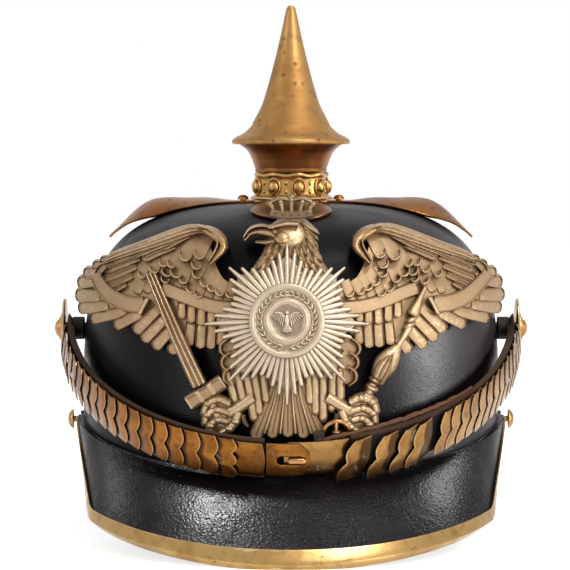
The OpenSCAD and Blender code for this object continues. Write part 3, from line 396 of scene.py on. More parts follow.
def new_group(name, inputs, outputs):
    """An empty shader node group: a place and numbers in, numbers out."""
    tree = bpy.data.node_groups.new(name, "ShaderNodeTree")
    tree.interface.new_socket(name="Place", in_out="INPUT", socket_type="NodeSocketVector")
    for socket_name, value in inputs.items():
        socket = tree.interface.new_socket(name=socket_name, in_out="INPUT", socket_type="NodeSocketFloat")
        socket.default_value = value
    for socket_name in outputs:
        tree.interface.new_socket(name=socket_name, in_out="OUTPUT", socket_type="NodeSocketFloat")
    given = tree.nodes.new("NodeGroupInput").outputs
    result = tree.nodes.new("NodeGroupOutput").inputs
    return Graph(tree, given["Place"]), given, result


# %% Soft clouds of tarnish
clouds, given, result = new_group("clouds", {"Scale": 60.0, "Low": 0.4, "High": 0.65}, ["Mask"])
cloud = clouds.noise(given["Scale"], detail=5, distort=0.6)
clouds.put(clouds.between(cloud, given["Low"], given["High"]), result["Mask"])
print("group:", clouds.tree.name)

# %% Small dark spots
spots, given, result = new_group("spots", {"Scale": 300.0, "Size": 0.25, "Share": 0.5}, ["Mask"])
cells = spots.node("ShaderNodeTexVoronoi", {"Vector": spots.place, "Scale": given["Scale"],
                                            "Randomness": 1.0}).outputs
ragged = spots.centred(spots.noise(900.0, detail=4), 0.5)
dot = spots.between(spots.add(cells["Distance"], ragged), 0.0, given["Size"], 1.0, 0.0)
chance = spots.node("ShaderNodeSeparateColor", {"Color": cells["Color"]}).outputs[0]
spots.put(spots.mul(dot, spots.math("LESS_THAN", chance, given["Share"])), result["Mask"])
print("group:", spots.tree.name)

# %% Fine scratches in two directions
scratches, given, result = new_group("scratches", {"Scale": 90.0, "Amount": 0.5}, ["Mask"])
marks = []
for turn in ((0.2, 0.5, 0.9), (1.1, -0.6, 0.3)):
    turned_place = scratches.node("ShaderNodeVectorRotate", {"Vector": scratches.place, "Rotation": turn},
                                  rotation_type="EULER_XYZ").outputs[0]
    stretched = scratches.node("ShaderNodeVectorMath", {0: turned_place, 1: (1.0, 14.0, 14.0)},
                               operation="MULTIPLY").outputs[0]
    marks.append(scratches.between(scratches.noise(given["Scale"], detail=2, place=stretched), 0.66, 0.74))
scratches.put(scratches.mul(scratches.top(*marks), given["Amount"]), result["Mask"])
print("group:", scratches.tree.name)

# %% Pores and wrinkles of leather
hide, given, result = new_group("hide", {"Pores": 900.0, "Wrinkles": 160.0, "Wrinkle depth": 0.6},
                                ["Height", "Crease"])
pores = hide.node("ShaderNodeTexVoronoi", {"Vector": hide.place, "Scale": given["Pores"]},
                  feature="SMOOTH_F1").outputs["Distance"]
swirl = hide.node("ShaderNodeTexNoise", {"Vector": hide.place, "Scale": 70.0,
                                         "Detail": 3.0}).outputs["Color"]
small_swirl = hide.node("ShaderNodeVectorMath", {0: swirl, "Scale": 0.006}, operation="SCALE").outputs[0]
warped = hide.node("ShaderNodeVectorMath", {0: hide.place, 1: small_swirl}, operation="ADD").outputs[0]
folds = hide.node("ShaderNodeTexVoronoi", {"Vector": warped, "Scale": given["Wrinkles"]},
                  feature="DISTANCE_TO_EDGE").outputs["Distance"]
patchy = hide.between(hide.noise(28.0), 0.42, 0.62)
crease = hide.mul(hide.between(folds, 0.0, 0.09, 1.0, 0.0), patchy)
hide.put(hide.sub(hide.mul(pores, 0.35), hide.mul(crease, given["Wrinkle depth"])), result["Height"])
hide.put(crease, result["Crease"])
print("group:", hide.tree.name)

# %% Wear on raised edges
edge_wear, given, result = new_group("edge wear", {"Low": 0.52, "High": 0.6}, ["Edge", "Hollow"])
sharpness = edge_wear.node("ShaderNodeNewGeometry").outputs["Pointiness"]
seen = edge_wear.add(sharpness, edge_wear.centred(edge_wear.noise(260.0), 0.08))
edge_wear.put(edge_wear.between(seen, given["Low"], given["High"]), result["Edge"])
edge_wear.put(edge_wear.between(seen, 0.4, 0.49, 1.0, 0.0), result["Hollow"])
print("group:", edge_wear.tree.name)


# %% [markdown]
# ## Finishes: brass
#
# All the metal here is brass in different states: bright yellow on the edging, copper-brown on the
# cross base, orange and olive on the scales, pale gilding on the eagle and silver on the star.
# One recipe fits all the plain fittings. It lays tarnish clouds over the clean colour, adds dark
# spots and the green bloom that sits in hollows, and shows bare metal on worn edges. Only the
# colours and amounts change. The stamped plate and the scales have recipes of their own.

# %% A material under construction
FINISHES = {}


class Finish(Graph):
    """A material with one Principled shader, read at the object's own coordinates."""

    def __init__(self, name):
        self.material = bpy.data.materials.new(name)
        self.material.use_nodes = True
        tree = self.material.node_tree
        super().__init__(tree, tree.nodes.new("ShaderNodeTexCoord").outputs["Object"])
        self.shader = tree.nodes["Principled BSDF"].inputs
        FINISHES[name] = self.material

    def use(self, group, **values):
        """Places a shared group with its own values."""
        made = self.node("ShaderNodeGroup", node_tree=group.tree)
        self.put(self.place, made.inputs["Place"])
        for key, value in values.items():
            made.inputs[key.replace("_", " ")].default_value = value
        return made.outputs

    def mask(self, group, **values):
        return self.use(group, **values)["Mask"]

    def stored(self, name):
        """A number stored on the corners of the piece."""
        return self.node("ShaderNodeAttribute", attribute_name=name).outputs["Fac"]

    def surface(self, colour, roughness, metal, shine=None):
        self.put((*colour, 1) if isinstance(colour, tuple) else colour, self.shader["Base Color"])
        self.put(roughness, self.shader["Roughness"])
        self.shader["Metallic"].default_value = metal
        if shine is not None:
            self.shader["Specular IOR Level"].default_value = shine

    def bump(self, height, strength, distance):
        made = self.node("ShaderNodeBump", {"Height": height, "Strength": strength, "Distance": distance})
        self.put(made.outputs[0], self.shader["Normal"])


# %% The recipe for old brass
# The green bloom is real verdigris of the hollows; the second colour is the near-black of painted shade.
GREEN_BLOOM, PAINTED_SHADE = (0.46, 0.43, 0.3), (0.014, 0.009, 0.007)


def old_brass(name, clean, aged, dark, bright, rough=0.26, cloud_scale=45.0, spot_share=0.25,
              spot_scale=260.0, green=0.0, grime=False):
    f = Finish(name)
    cloud = f.mask(clouds, Scale=cloud_scale, Low=0.42, High=0.66)
    small = f.mask(clouds, Scale=cloud_scale * 5, Low=0.5, High=0.7)
    spot = f.mask(spots, Scale=spot_scale, Size=0.32, Share=spot_share)
    scratch = f.mask(scratches, Scale=70.0, Amount=0.35)
    wear = f.use(edge_wear, Low=0.53, High=0.62)
    colour = f.blend(cloud, clean, aged)
    for mask, share in ((small, 0.35), (spot, 0.75), (wear["Hollow"], 0.75)):
        colour = f.blend(f.mul(mask, share), colour, dark)
    if green:
        bloom = f.mul(wear["Hollow"], f.mask(clouds, Scale=120.0, Low=0.5, High=0.6))
        colour = f.blend(f.mul(bloom, green), colour, GREEN_BLOOM)
    colour = f.blend(f.mul(wear["Edge"], 0.7), colour, bright)
    # Painted shade: where the piece stores a shaded place, the colour turns near-black.
    if grime:
        colour = f.blend(f.stored("grime"), colour, PAINTED_SHADE)
    f.surface(colour, f.add(f.mul(cloud, 0.1), rough, f.mul(spot, 0.25), f.mul(scratch, 0.15)), metal=1)
    f.bump(f.sub(f.mul(f.noise(90.0, detail=2), 2.0), scratch), 0.35, 0.00008)


# Each brass has a clean, an aged, a dark and a worn bright colour
old_brass("edging_brass", (0.43, 0.27, 0.1), (0.31, 0.18, 0.062), (0.13, 0.06, 0.025),
          (0.66, 0.48, 0.26), spot_share=0.15)
# The cross base carries the painted shade behind the crown.
old_brass("base_brass", (0.25, 0.1, 0.026), (0.17, 0.06, 0.014), (0.07, 0.022, 0.008),
          (0.46, 0.26, 0.11), rough=0.3, cloud_scale=38.0, spot_share=0.3, grime=True)
old_brass("spine_brass", (0.4, 0.22, 0.08), (0.27, 0.13, 0.045), (0.09, 0.04, 0.02), (0.56, 0.38, 0.2))
old_brass("spike_brass", (0.36, 0.205, 0.072), (0.28, 0.14, 0.043), (0.13, 0.04, 0.02),
          (0.46, 0.33, 0.17), rough=0.45, cloud_scale=30.0, spot_share=0.5, spot_scale=210.0)
old_brass("neck_brass", (0.27, 0.11, 0.035), (0.18, 0.065, 0.02), (0.08, 0.02, 0.01),
          (0.46, 0.27, 0.11), rough=0.38, cloud_scale=34.0, spot_share=0.5, spot_scale=230.0)
old_brass("ring_brass", (0.47, 0.27, 0.085), (0.4, 0.23, 0.075), (0.36, 0.24, 0.11),
          (0.74, 0.58, 0.33), rough=0.28, green=0.95)
old_brass("boss_brass", (0.44, 0.27, 0.11), (0.3, 0.16, 0.055), (0.1, 0.05, 0.02), (0.66, 0.48, 0.27),
          rough=0.27)
old_brass("buckle_brass", (0.42, 0.22, 0.09), (0.3, 0.13, 0.05), (0.1, 0.04, 0.02), (0.66, 0.46, 0.28),
          rough=0.28)
print("metal finishes:", list(FINISHES))

# %% [markdown]
# ## Finishes: the gilded eagle and the silvered star
#
# The stamped plate is matte in its hollows, where old gilding has gone a pinkish beige, and polished
# where cloths have rubbed it for a century, while right at the foot of each form the colour is painted
# a dark brown as the shade there. Its pieces carry two stored numbers: relief, which is 0 at the foot
# of a form and 1 on its crest, and polish, which is high on the smooth bands. The material reads
# both, so the wear and the painted shade follow the stamped shapes exactly.

# %% Gilded and silvered sheet
def stamped(name, hollow, matte, crest, polished, rough_low, rough_high):
    f = Finish(name)
    polish = f.stored("polish")
    fine = f.mask(clouds, Scale=420.0, Low=0.45, High=0.62)
    rubbed = f.add(f.stored("relief"), f.centred(fine, 0.16))
    # Painted shade: at the foot of each form the colour is the dark hollow one, rising to matte higher up.
    colour = f.blend(f.between(rubbed, 0.02, 0.34), hollow, matte)
    colour = f.blend(f.between(rubbed, 0.72, 1.0), colour, crest)
    colour = f.blend(polish, colour, polished)
    cloud = f.mask(clouds, Scale=55.0, Low=0.38, High=0.66)
    colour = f.blend(f.mul(cloud, 0.3), colour, tuple(c * 0.72 for c in polished))
    shine = f.top(f.between(rubbed, 0.6, 1.0), polish)
    roughness = f.node("ShaderNodeMapRange", {"Value": shine, "To Min": rough_high, "To Max": rough_low})
    f.surface(colour, roughness.outputs["Result"], metal=0.7)
    f.bump(f.add(f.noise(1300.0, detail=3), f.mul(fine, 0.8)), 0.35, 0.00016)


# Each finish: a painted-shade colour for the foot of the forms, then matte, crest and polished colours.
stamped("eagle_brass", (0.15, 0.092, 0.05), (0.35, 0.232, 0.128), (0.5, 0.365, 0.218),
        (0.34, 0.2, 0.085), rough_low=0.32, rough_high=0.5)
stamped("crown_brass", (0.055, 0.03, 0.016), (0.19, 0.12, 0.064), (0.33, 0.215, 0.118),
        (0.26, 0.155, 0.07), rough_low=0.3, rough_high=0.48)
stamped("star_brass", (0.28, 0.2, 0.14), (0.51, 0.4, 0.29), (0.58, 0.475, 0.355),
        (0.45, 0.36, 0.255), rough_low=0.3, rough_high=0.48)
print("finishes so far:", len(FINISHES))

# %% [markdown]
# ## Finishes: the chin-scales
#
# A scale is a thin strip of brass with a cut edge. Handling has rubbed the outer rim to a thin grey
# silver line, and a painted highlight brightens it further; grease has browned the middle, and some
# whitish residue sits in the gaps. Where a scale lies under the next one's free edge it is painted
# dark, as the shadow there. The scales store how near a point is to the free edge, and the material
# draws the rim, the painted highlight and the painted shadow from that.

# %% Scale finishes
RESIDUE = (0.34, 0.33, 0.28)


def scale_finish(name, clean, aged, dark, rim):
    f = Finish(name)
    near_edge = f.stored("rim")
    cloud = f.mask(clouds, Scale=70.0, Low=0.4, High=0.64)
    small = f.mask(clouds, Scale=260.0, Low=0.5, High=0.68)
    spot = f.mask(spots, Scale=330.0, Size=0.3, Share=0.28)
    scratch = f.mask(scratches, Scale=110.0, Amount=0.5)
    # Painted shadow: the part that lies under the next scale's free edge is darkened.
    shadow_under_next_scale = f.between(near_edge, 0.42, 0.56, 0.92, 0.0)
    colour = f.blend(cloud, clean, aged)
    for mask in (f.mul(small, 0.45), f.mul(spot, 0.6), shadow_under_next_scale):
        colour = f.blend(mask, colour, dark)
    residue = f.mul(f.between(near_edge, 0.45, 0.6, 1.0, 0.0),
                    f.mask(clouds, Scale=170.0, Low=0.6, High=0.7))
    colour = f.blend(f.mul(residue, 0.35), colour, RESIDUE)
    # The rubbed rim, with a painted highlight along the free edge.
    colour = f.blend(f.between(near_edge, 0.93, 0.985), colour, rim)
    f.surface(colour, f.add(f.mul(cloud, 0.12), 0.24, f.mul(residue, 0.3)), metal=1)
    f.bump(f.sub(f.mul(f.noise(130.0, detail=2), 2.0), scratch), 0.4, 0.0001)


scale_finish("orange_scales", (0.245, 0.098, 0.019), (0.165, 0.06, 0.012), (0.045, 0.018, 0.006),
             (0.34, 0.19, 0.075))
scale_finish("olive_scales", (0.31, 0.165, 0.052), (0.21, 0.1, 0.03), (0.05, 0.025, 0.009),
             (0.4, 0.26, 0.12))
print("finishes so far:", len(FINISHES))

# %% [markdown]
# ## Finishes: leather
#
# The skull is polished with many coats of black lacquer, so its pores nearly vanish and broad soft
# highlights lie on it. The peaks bend more in use, so their lacquer is crazed. Inside, the liner is
# plain tan leather, and the straps are dull with fibrous brown edges. The recipe sets the pore and
# wrinkle sizes, and the stored edge number turns worn edges brown.

# %% Leather finishes
BARE_EDGE = (0.15, 0.068, 0.03)


def leather(name, base, worn, rough, pores=900.0, wrinkles=160.0, depth=0.6, strength=0.3, edges=0.0,
            shine=0.3):
    f = Finish(name)
    grain = f.use(hide, Pores=pores, Wrinkles=wrinkles, Wrinkle_depth=depth)
    cloud = f.mask(clouds, Scale=26.0, Low=0.35, High=0.7)
    scratch = f.mask(scratches, Scale=55.0, Amount=0.9)
    colour = f.blend(f.mul(cloud, 0.5), base, worn)
    colour = f.blend(f.mul(grain["Crease"], 0.6), colour, tuple(c * 0.4 for c in base))
    if edges:
        ragged = f.add(f.stored("rim"), f.centred(f.noise(500.0, detail=5), 0.7))
        colour = f.blend(f.mul(f.between(ragged, 0.55, 0.85), edges), colour, BARE_EDGE)
    f.surface(colour, f.add(f.mul(cloud, 0.12), rough, f.mul(scratch, 0.12)), metal=0, shine=shine)
    soft_dents = f.mul(f.noise(60.0, detail=4), 1.2)
    f.bump(f.add(grain["Height"], f.mul(scratch, -0.5), soft_dents), strength, 0.0004)


leather("skull_leather", (0.004, 0.003, 0.0035), (0.0075, 0.006, 0.0072), 0.3, pores=1300.0,
        wrinkles=300.0, depth=0.15, shine=0.045)
leather("peak_leather", (0.0035, 0.0026, 0.003), (0.0065, 0.0052, 0.0062), 0.25, pores=1000.0,
        wrinkles=520.0, depth=0.35, strength=0.75, shine=0.045)
leather("peak_lining", (0.02, 0.04, 0.024), (0.035, 0.06, 0.04), 0.62)
leather("liner_leather", (0.3, 0.17, 0.085), (0.2, 0.11, 0.055), 0.58, strength=0.35)
leather("strap_leather", (0.014, 0.01, 0.009), (0.045, 0.036, 0.034), 0.6, strength=0.6, edges=0.3,
        shine=0.1)
leather("loose_leather", (0.016, 0.012, 0.011), (0.045, 0.034, 0.03), 0.55, wrinkles=320.0,
        strength=0.7, edges=0.9, shine=0.2)
leather("dark_post", (0.02, 0.014, 0.01), (0.035, 0.024, 0.016), 0.5, strength=0.2, shine=0.15)
print("finishes so far:", len(FINISHES))

# %% Cord finish
cord_finish = Finish("liner_cord")
twist = cord_finish.math("SINE", cord_finish.mul(cord_finish.stored("around"), 40.0), 0.0)
strand = cord_finish.between(twist, -0.6, 0.6)
fuzz = cord_finish.noise(1600.0, detail=4)
# Painted light and shade: each strand's crest is lighter and the groove between strands darker.
lit_strand = cord_finish.mul(strand, cord_finish.add(fuzz, 0.4))
cord_finish.surface(cord_finish.blend(lit_strand, (0.16, 0.11, 0.07), (0.42, 0.33, 0.23)), 0.85, metal=0)
cord_finish.bump(cord_finish.add(strand, fuzz), 0.5, 0.0004)
print("finishes:", len(FINISHES))

# %% [markdown]
# ## The leather skull
#
# The skull is one moulded shell. It starts as a ring of corners that is extruded row by row, and
# each row is then put on the dome: straight walls below, a flat round top above. A wall of 3 mm is
# given to the whole sheet at the end, and the rim is rounded a little, as a cut leather edge is.

# %% Sizes of the dome
HALF_W, HALF_L = 91, 108
TOP_Z, SPRING_Z = 140.8, 55
DOME_POWER = 3.4
WALL = 3
VENT_R = 9.5
RIM_FRONT, RIM_SIDE, RIM_BACK, HEM = 34, 49, 37, 1


def taper(t):
    return np.maximum(1 - np.abs(t) ** DOME_POWER, 1e-4) ** (1 / DOME_POWER)


def dome_scale(z, off):
    """How much narrower the dome is at a height than at its foot."""
    return taper(np.maximum(z - SPRING_Z, 0) / (TOP_Z - SPRING_Z + off))


def dome_y(x, z, off):
    s = dome_scale(z, off)
    return -(HALF_L + off) * s * np.sqrt(np.maximum(1 - (x / ((HALF_W + off) * s)) ** 2, 0.02))


def dome_z(x, y):
    q = np.hypot(x / HALF_W, y / HALF_L)
    return SPRING_Z + (TOP_Z - SPRING_Z) * taper(np.minimum(q, 0.98))


def rim_z(angle):
    front = np.cos(angle)
    lowest = np.where(front > 0, RIM_FRONT, RIM_BACK)
    return RIM_SIDE + (lowest - RIM_SIDE) * np.abs(front)


# %% Skull shell
SKULL_ROWS = 44
ROUND_FROM = 8
LAST_ANGLE = 84


def on_dome(x, y, row):
    angle = np.arctan2(x, -y)
    low = rim_z(angle) - HEM
    up = np.clip(row / ROUND_FROM, 0, 1)
    t = np.radians(np.clip((row - ROUND_FROM) / (SKULL_ROWS - 1 - ROUND_FROM), 0, 1) * LAST_ANGLE)
    s = np.cos(t) ** (2 / DOME_POWER)
    z = np.where(row <= ROUND_FROM, low + (SPRING_Z - low) * up,
                 SPRING_Z + (TOP_Z - SPRING_Z) * np.sin(t) ** (2 / DOME_POWER))
    last = row > SKULL_ROWS - 0.5
    reach_x = np.where(last, VENT_R, HALF_W * s)
    reach_y = np.where(last, VENT_R, HALF_L * s)
    return reach_x * np.sin(angle), -reach_y * np.cos(angle), np.where(last, TOP_Z, z)


skull = ring_rows("skull", 160, SKULL_ROWS)
reshape(skull, on_dome)
sheet_to_shell(skull, WALL, bevel=0.8, segments=3)
finish_piece(skull, "helmet", "skull_leather", "skull_shell")

# %% [markdown]
# ## Peaks, edging and the pieces copied from the CAD model
#
# The peaks are free curved sheets. Their CAD meshes are already the true form, only in coarse
# facets, so each is copied, its triangles are joined to quads, its sharp edges are creased and the
# rest is rounded by subdivision. The same way serves the linings, the edging and the rear spine.

# %% Rounded copies
copied = {
    "peak_leather": ("front_peak", "rear_peak"),
    "peak_lining": ("front_peak_lining", "rear_peak_lining"),
    "edging_brass": ("front_peak_trim",),
    "spine_brass": ("rear_spine",),
    "liner_leather": ("sweatband", "liner_tongues"),
}
for slot, parts in copied.items():
    for node in parts:
        finish_piece(smooth_copy(node, node + "_fine"), "helmet", slot, node, angle=45, unit=1)

# %% [markdown]
# ## Cross base
#
# Four leaf arms grow from a round middle, all in one sheet of brass. The middle of each side arm
# arches off the leather and dips again near its tip, which gives the long double curve seen from in
# front, while its edges run down to the leather. The front arm lies almost flat, and behind the
# crown it is painted near-black as shade. A ring is extruded outward in many rows, and each corner
# is placed by its angle: near an arm's middle the ring reaches far out, between two arms it stays
# close to the socket.

# %% Cross base
SLIP, BASE_T, HOLE_R, ARM_HALF_W = 0.15, 1, 8.15, 19.5
arm_reach = flow([0, 2.5, 8.5, 14, 18, 19.8, 21.8, 24, 33, 45],
                 [1, 0.965, 0.9, 0.825, 0.725, 0.6, 0.42, 0.3, 0.235, 0.225])
arm_lift = flow([0, 25, 35, 47, 55, 61, 66, 71, 75.5, 80, 84],
                [0, 0, 0.26, 0.5, 0.79, 0.97, 0.95, 0.81, 0.72, 0.86, 1])
inner_half_w = flow([15, 20, 25, 33, 47, 54, 90],
                    [7, 8.2, 9.9, 12.1, 15.9, 0.9 * ARM_HALF_W, 0.9 * ARM_HALF_W])
BASE_ROWS, SIDE_ARM, LONG_ARM, LIFT = 26, 80, 76, 7.6
FRONT_SHARE, REAR_SHARE, DIAGONAL = 0.08, 0.55, 0.7071
# Many corners near the arms' middles and edges, where the outline turns fast
quarter = np.array([-44, -38, -33, -28, -25, -24, -23, -22.4, -21.8, -21.2, -20.6, -19.8, -19, -18.4,
                    -17.6, -16.5, -15, -13.4, -11.7, -10, -8, -6, -4.2, -2.9, -2, -1.2, -0.5])
quarter = np.radians(np.concatenate([quarter, [0], -quarter[::-1]]))
ring_angles = np.concatenate([quarter + math.pi / 2 * k for k in range(4)])


def on_base(x, y, row):
    """Each corner's angle says how far its arm reaches there; the row says how far along it is."""
    order = np.rint(np.degrees(np.arctan2(x, y)) % 360 / 360 * len(ring_angles)).astype(int)
    angle = ring_angles[order % len(ring_angles)]
    from_middle = np.abs(np.degrees((angle + math.pi * 2.25) % (math.pi / 2)) - 45)
    ahead = np.cos(angle)
    to_front, to_rear = ahead > DIAGONAL, ahead < -DIAGONAL
    arm = np.where(to_front | to_rear, LONG_ARM, SIDE_ARM)
    r = HOLE_R + (arm * arm_reach(from_middle) - HOLE_R) * row / BASE_ROWS
    x, y = r * np.sin(angle), -r * np.cos(angle)
    side = r * np.sin(np.radians(from_middle))
    share = np.where(to_front, FRONT_SHARE, np.where(to_rear, REAR_SHARE, 1))
    arched = 1 - 0.96 * np.minimum(side / inner_half_w(r), 1.03) ** 2
    return x, y, dome_z(x, y) + SLIP + BASE_T + LIFT * arm_lift(r) * share * arched


base = ring_rows("cross_base_fine", len(ring_angles), BASE_ROWS)
reshape(base, on_base)
# Painted shade: the middle of the front arm, behind the crown, is stored as shaded, and its finish turns it
# near-black there.
write_attribute(base, "grime", lambda x, y, z: np.exp(-(x / 11) ** 6) * np.clip((-y - 34) / 8, 0, 1))
sheet_to_shell(base, BASE_T, bevel=0.25, segments=2)
finish_piece(base, "helmet", "base_brass", "cross_base")

# %% Screws, nuts and rivets
BASE_TOP, SCREW_AT = TOP_Z + SLIP + BASE_T, 21
RIVET_X, RIVET_Y, RIVET_Z = 95.3, -6, 46
screw = turned("screw", [[0, -9], [1.3, -9], [1.3, 0], [2.5, 0], [2.45, 0.5], [2.2, 1.1], [1.7, 1.6],
                         [1.1, 1.9], [0, 2.1]], around=40)
screws = []
for k in range(4):
    one = copy_of(screw)
    across, along = SCREW_AT * math.cos(k * math.pi / 2), SCREW_AT * math.sin(k * math.pi / 2)
    reshape(one, lambda x, y, z: (x + across, y + along, z + BASE_TOP + 0.15))
    screws.append(one)
drop(screw)
finish_piece(join(screws, "base_screws_fine"), "helmet", "base_brass", "base_screws")

rivet = turned("rivet", [[0, -8.9], [2.5, -8.9], [2.6, -8.7], [2.6, -7.9], [1.3, -7.7], [1.3, 0], [4, 0],
                         [4.2, 0.2], [4.15, 0.6], [3.8, 1.1], [3.1, 1.7], [2.2, 2.15], [1.1, 2.42],
                         [0, 2.5]], around=48)
rivets = []
for side in (-1, 1):
    one = copy_of(rivet)
    reshape(one, lambda x, y, z: (side * (z + RIVET_X), RIVET_Y - y, x + RIVET_Z))
    rivets.append(one)
drop(rivet)
finish_piece(close_up(join(rivets, "end_rivets_fine")), "helmet", "edging_brass", "trim_end_rivets")

# %% [markdown]
# ## Spike
#
# The spike is turned work: a bowl-shaped neck with a rounded foot, a flared rim with a small bead
# round it, and a cone with a stepped foot that runs up to a blunt tip. Every outline is a list of
# radius and height, smoothed where the metal was spun.

# %% Neck and cone
NECK_Z, NECK_H = 154.25, 12.4
RIM_Z, RIM_R, CONE_H = 166.65, 25.7, 60.3
neck_outline = [[15.2, 0], [15.65, 0.25], [15.75, 0.9], [15.6, 1.6]]
neck_shape = flow([0.13, 0.27, 0.5, 0.8, 0.98], [0, 0.08, 0.22, 0.53, 0.93])
for step in np.linspace(0.13, 0.98, 16):
    neck_outline.append([15.7 + 7.6 * float(neck_shape(step)), NECK_H * step])
neck_inner = [[r - 1.2, z + 0.4] for r, z in neck_outline[:2:-1]]
neck_profile = [[5, 0]] + neck_outline + neck_inner + [[14.5, 1.2], [5, 1.2], [5, 0]]
neck = turned("spike_neck_fine", [[r, z + NECK_Z] for r, z in neck_profile], around=128)
finish_piece(neck, "spike", "spike_brass", "spike_neck", finish="neck_brass")

cone_shape = flow([0.175, 0.26, 0.4, 0.57, 0.75, 0.9, 0.97],
                  [0.622, 0.515, 0.405, 0.297, 0.194, 0.118, 0.082])
outline = [[RIM_R - 2.2, 0.2], [RIM_R - 0.9, -0.35], [RIM_R - 0.2, -0.3], [RIM_R + 0.15, 0.1],
           [RIM_R + 0.2, 0.7], [RIM_R + 0.1, 1.3], [RIM_R - 0.2, 1.85], [RIM_R - 0.9, 2.2], [24, 2.9],
           [22.4, 3.6], [20.9, 4.4], [19.6, 5.4], [18.4, 6.5], [17.5, 7.5], [17, 8.2], [16.75, 8.9],
           [16.5, 9.5], [16.05, 10.2]]
for step in np.linspace(0.19, 0.97, 44):
    outline.append([RIM_R * float(cone_shape(step)), CONE_H * step])
outline += [[1.85, 59.2], [1.45, 59.8], [0.8, 60.2], [0, 60.3]]
hollow = [[r - 1.3, z - 0.4] for r, z in outline[-9:10:-1]] + [[19.2, 4.2], [RIM_R - 2.2, 1]]
cone_profile = outline + [[0, 55]] + hollow + [[RIM_R - 2.2, 0.2]]
cone = turned("spike_cone_fine", [[r, z + RIM_Z] for r, z in cone_profile], around=128)
finish_piece(cone, "spike", "spike_brass", "spike_cone")

# %% [markdown]
# ## Pearl ring
#
# Under the spike stands a gallery: a band between two soft flanges, with nine oval pearls. Each
# pearl sits in a raised oval collar, and a small bud fills the gap between two pearls. The collar
# is a squeezed ring, and the pearl a stretched ball, both modelled once and copied round.

# %% Pearl ring
RING_Z, RING_R, RING_H, PEARLS = 142.25, 15.4, 11.7, 9
band = [[9.3, 0], [17.7, 0], [18.05, 0.3], [17.9, 0.85], [16.9, 1.4], [16.15, 2.0], [15.75, 2.7],
        [15.65, 4], [15.6, 6], [15.6, 8], [15.75, 9.3], [16.15, 9.9], [16.35, 10.5], [16.2, 11.3],
        [15.7, 11.7], [14.4, 11.7], [14.1, 1.3], [9.3, 1.3], [9.3, 0]]
ring_band = turned("ring_band", band, around=216)


def wavy(x, y, z):
    """The flanges swell a little under each pearl."""
    angle = np.arctan2(y, x)
    wave = np.cos((angle + math.radians(78)) * PEARLS)
    r = np.hypot(x, y)
    wave = wave * np.where((r > 15.5) & ((z < 2.5) | (z > 9)), 1, 0)
    swell = 1 + 0.018 * wave
    return x * swell, y * swell, z + 0.35 * wave * np.where(z > 6, 1, 0)


reshape(ring_band, wavy)
clear_selection()
bpy.ops.mesh.primitive_uv_sphere_add(segments=32, ring_count=20, radius=1)
pearl = named("pearl")
reshape(pearl, lambda x, y, z: (x * 1.7 + RING_R + 0.9, y * 2.4, z * 2.95))
clear_selection()
bpy.ops.mesh.primitive_torus_add(major_radius=1, minor_radius=0.15, major_segments=48, minor_segments=14)
collar = named("collar")
reshape(collar, lambda x, y, z: (z * 4.2 + RING_R + 0.35, x * 2.95, y * 3.7))
clear_selection()
bpy.ops.mesh.primitive_uv_sphere_add(segments=16, ring_count=10, radius=1)
bud = named("bud")
reshape(bud, lambda x, y, z: (x * 0.6 + RING_R + 0.25, y * 0.75, z * 1.25))
ring_pieces = [ring_band]
for k in range(PEARLS):
    turn = math.radians(-78 + k * 360 / PEARLS)
    half_turn = turn + math.pi / PEARLS
    placed = [(pearl, turn, 0), (collar, turn, 0), (bud, half_turn, 1.9), (bud, half_turn, -1.9)]
    for pattern, angle, up in placed:
        one = copy_of(pattern)
        c, s = math.cos(angle), math.sin(angle)
        mid = RING_Z + RING_H * 0.46 + up
        reshape(one, lambda x, y, z: (x * c - y * s, x * s + y * c, z + mid))
        ring_pieces.append(one)
drop(pearl, collar, bud)
reshape(ring_band, lambda x, y, z: (x, y, z + RING_Z))
pearl_ring = join(ring_pieces, "pearl_ring_fine")
finish_piece(close_up(pearl_ring), "pearl_ring", "ring_brass", "pearl_ring", angle=50)

# %% [markdown]
# ## Eagle plate: patterns for stamped forms
#
# The eagle is one stamped sheet, and its feathers, ribbons and beads are all strips with a certain
# cross-section. A strip starts as a closed block. Laying it gives it a line to follow, a width that
# changes along the line, a height and a rounded or pointed end. The plate is laid out flat, as seen
# from in front: x across, z up, and the height of the relief in between. At the end everything is
# pressed on the dome together, just as the real die does.

# %% Cross-sections
def slat_section(rho, x, end):
    """A feather: raised borders, a thin shaft in the middle and a sunken vane between."""
    border = np.exp(-((rho - 0.74) / 0.15) ** 2)
    shaft = 0.8 * np.exp(-(x / 0.12) ** 2) * (1 - end)
    return np.maximum(np.maximum(border, shaft), 0.6) * np.clip((1 - rho) / 0.14, 0, 1)


def rib_section(rho, x, end):
    """A plain convex rib."""
    return np.sqrt(np.maximum(1 - rho ** 2.2, 0))


def vane_section(rho, x, end):
    """A broad smooth feather with a thin raised outline."""
    outline = np.exp(-((rho - 0.86) / 0.07) ** 2)
    return np.maximum(0.78 - 0.16 * rho ** 2, outline) * np.clip((1 - rho) / 0.07, 0, 1)


def reed_section(rho, x, end):
    """The leading edge: a convex band with fine lines along it."""
    return np.sqrt(np.maximum(1 - rho ** 2.4, 0)) * (0.88 + 0.12 * np.cos(x * 11))


def drop_section(rho, x, end):
    """A covert: a soft pad that rises to a bright crescent round its free end."""
    crescent = np.exp(-((rho - 0.7) / 0.18) ** 2) * end
    return np.maximum(0.4 - 0.08 * rho ** 2, crescent) * np.clip((1 - rho) / 0.14, 0, 1)


def lock_section(rho, x, end):
    """A pointed lock with a keel."""
    return (1 - np.abs(x) ** 1.3) * (1 - 0.35 * end)


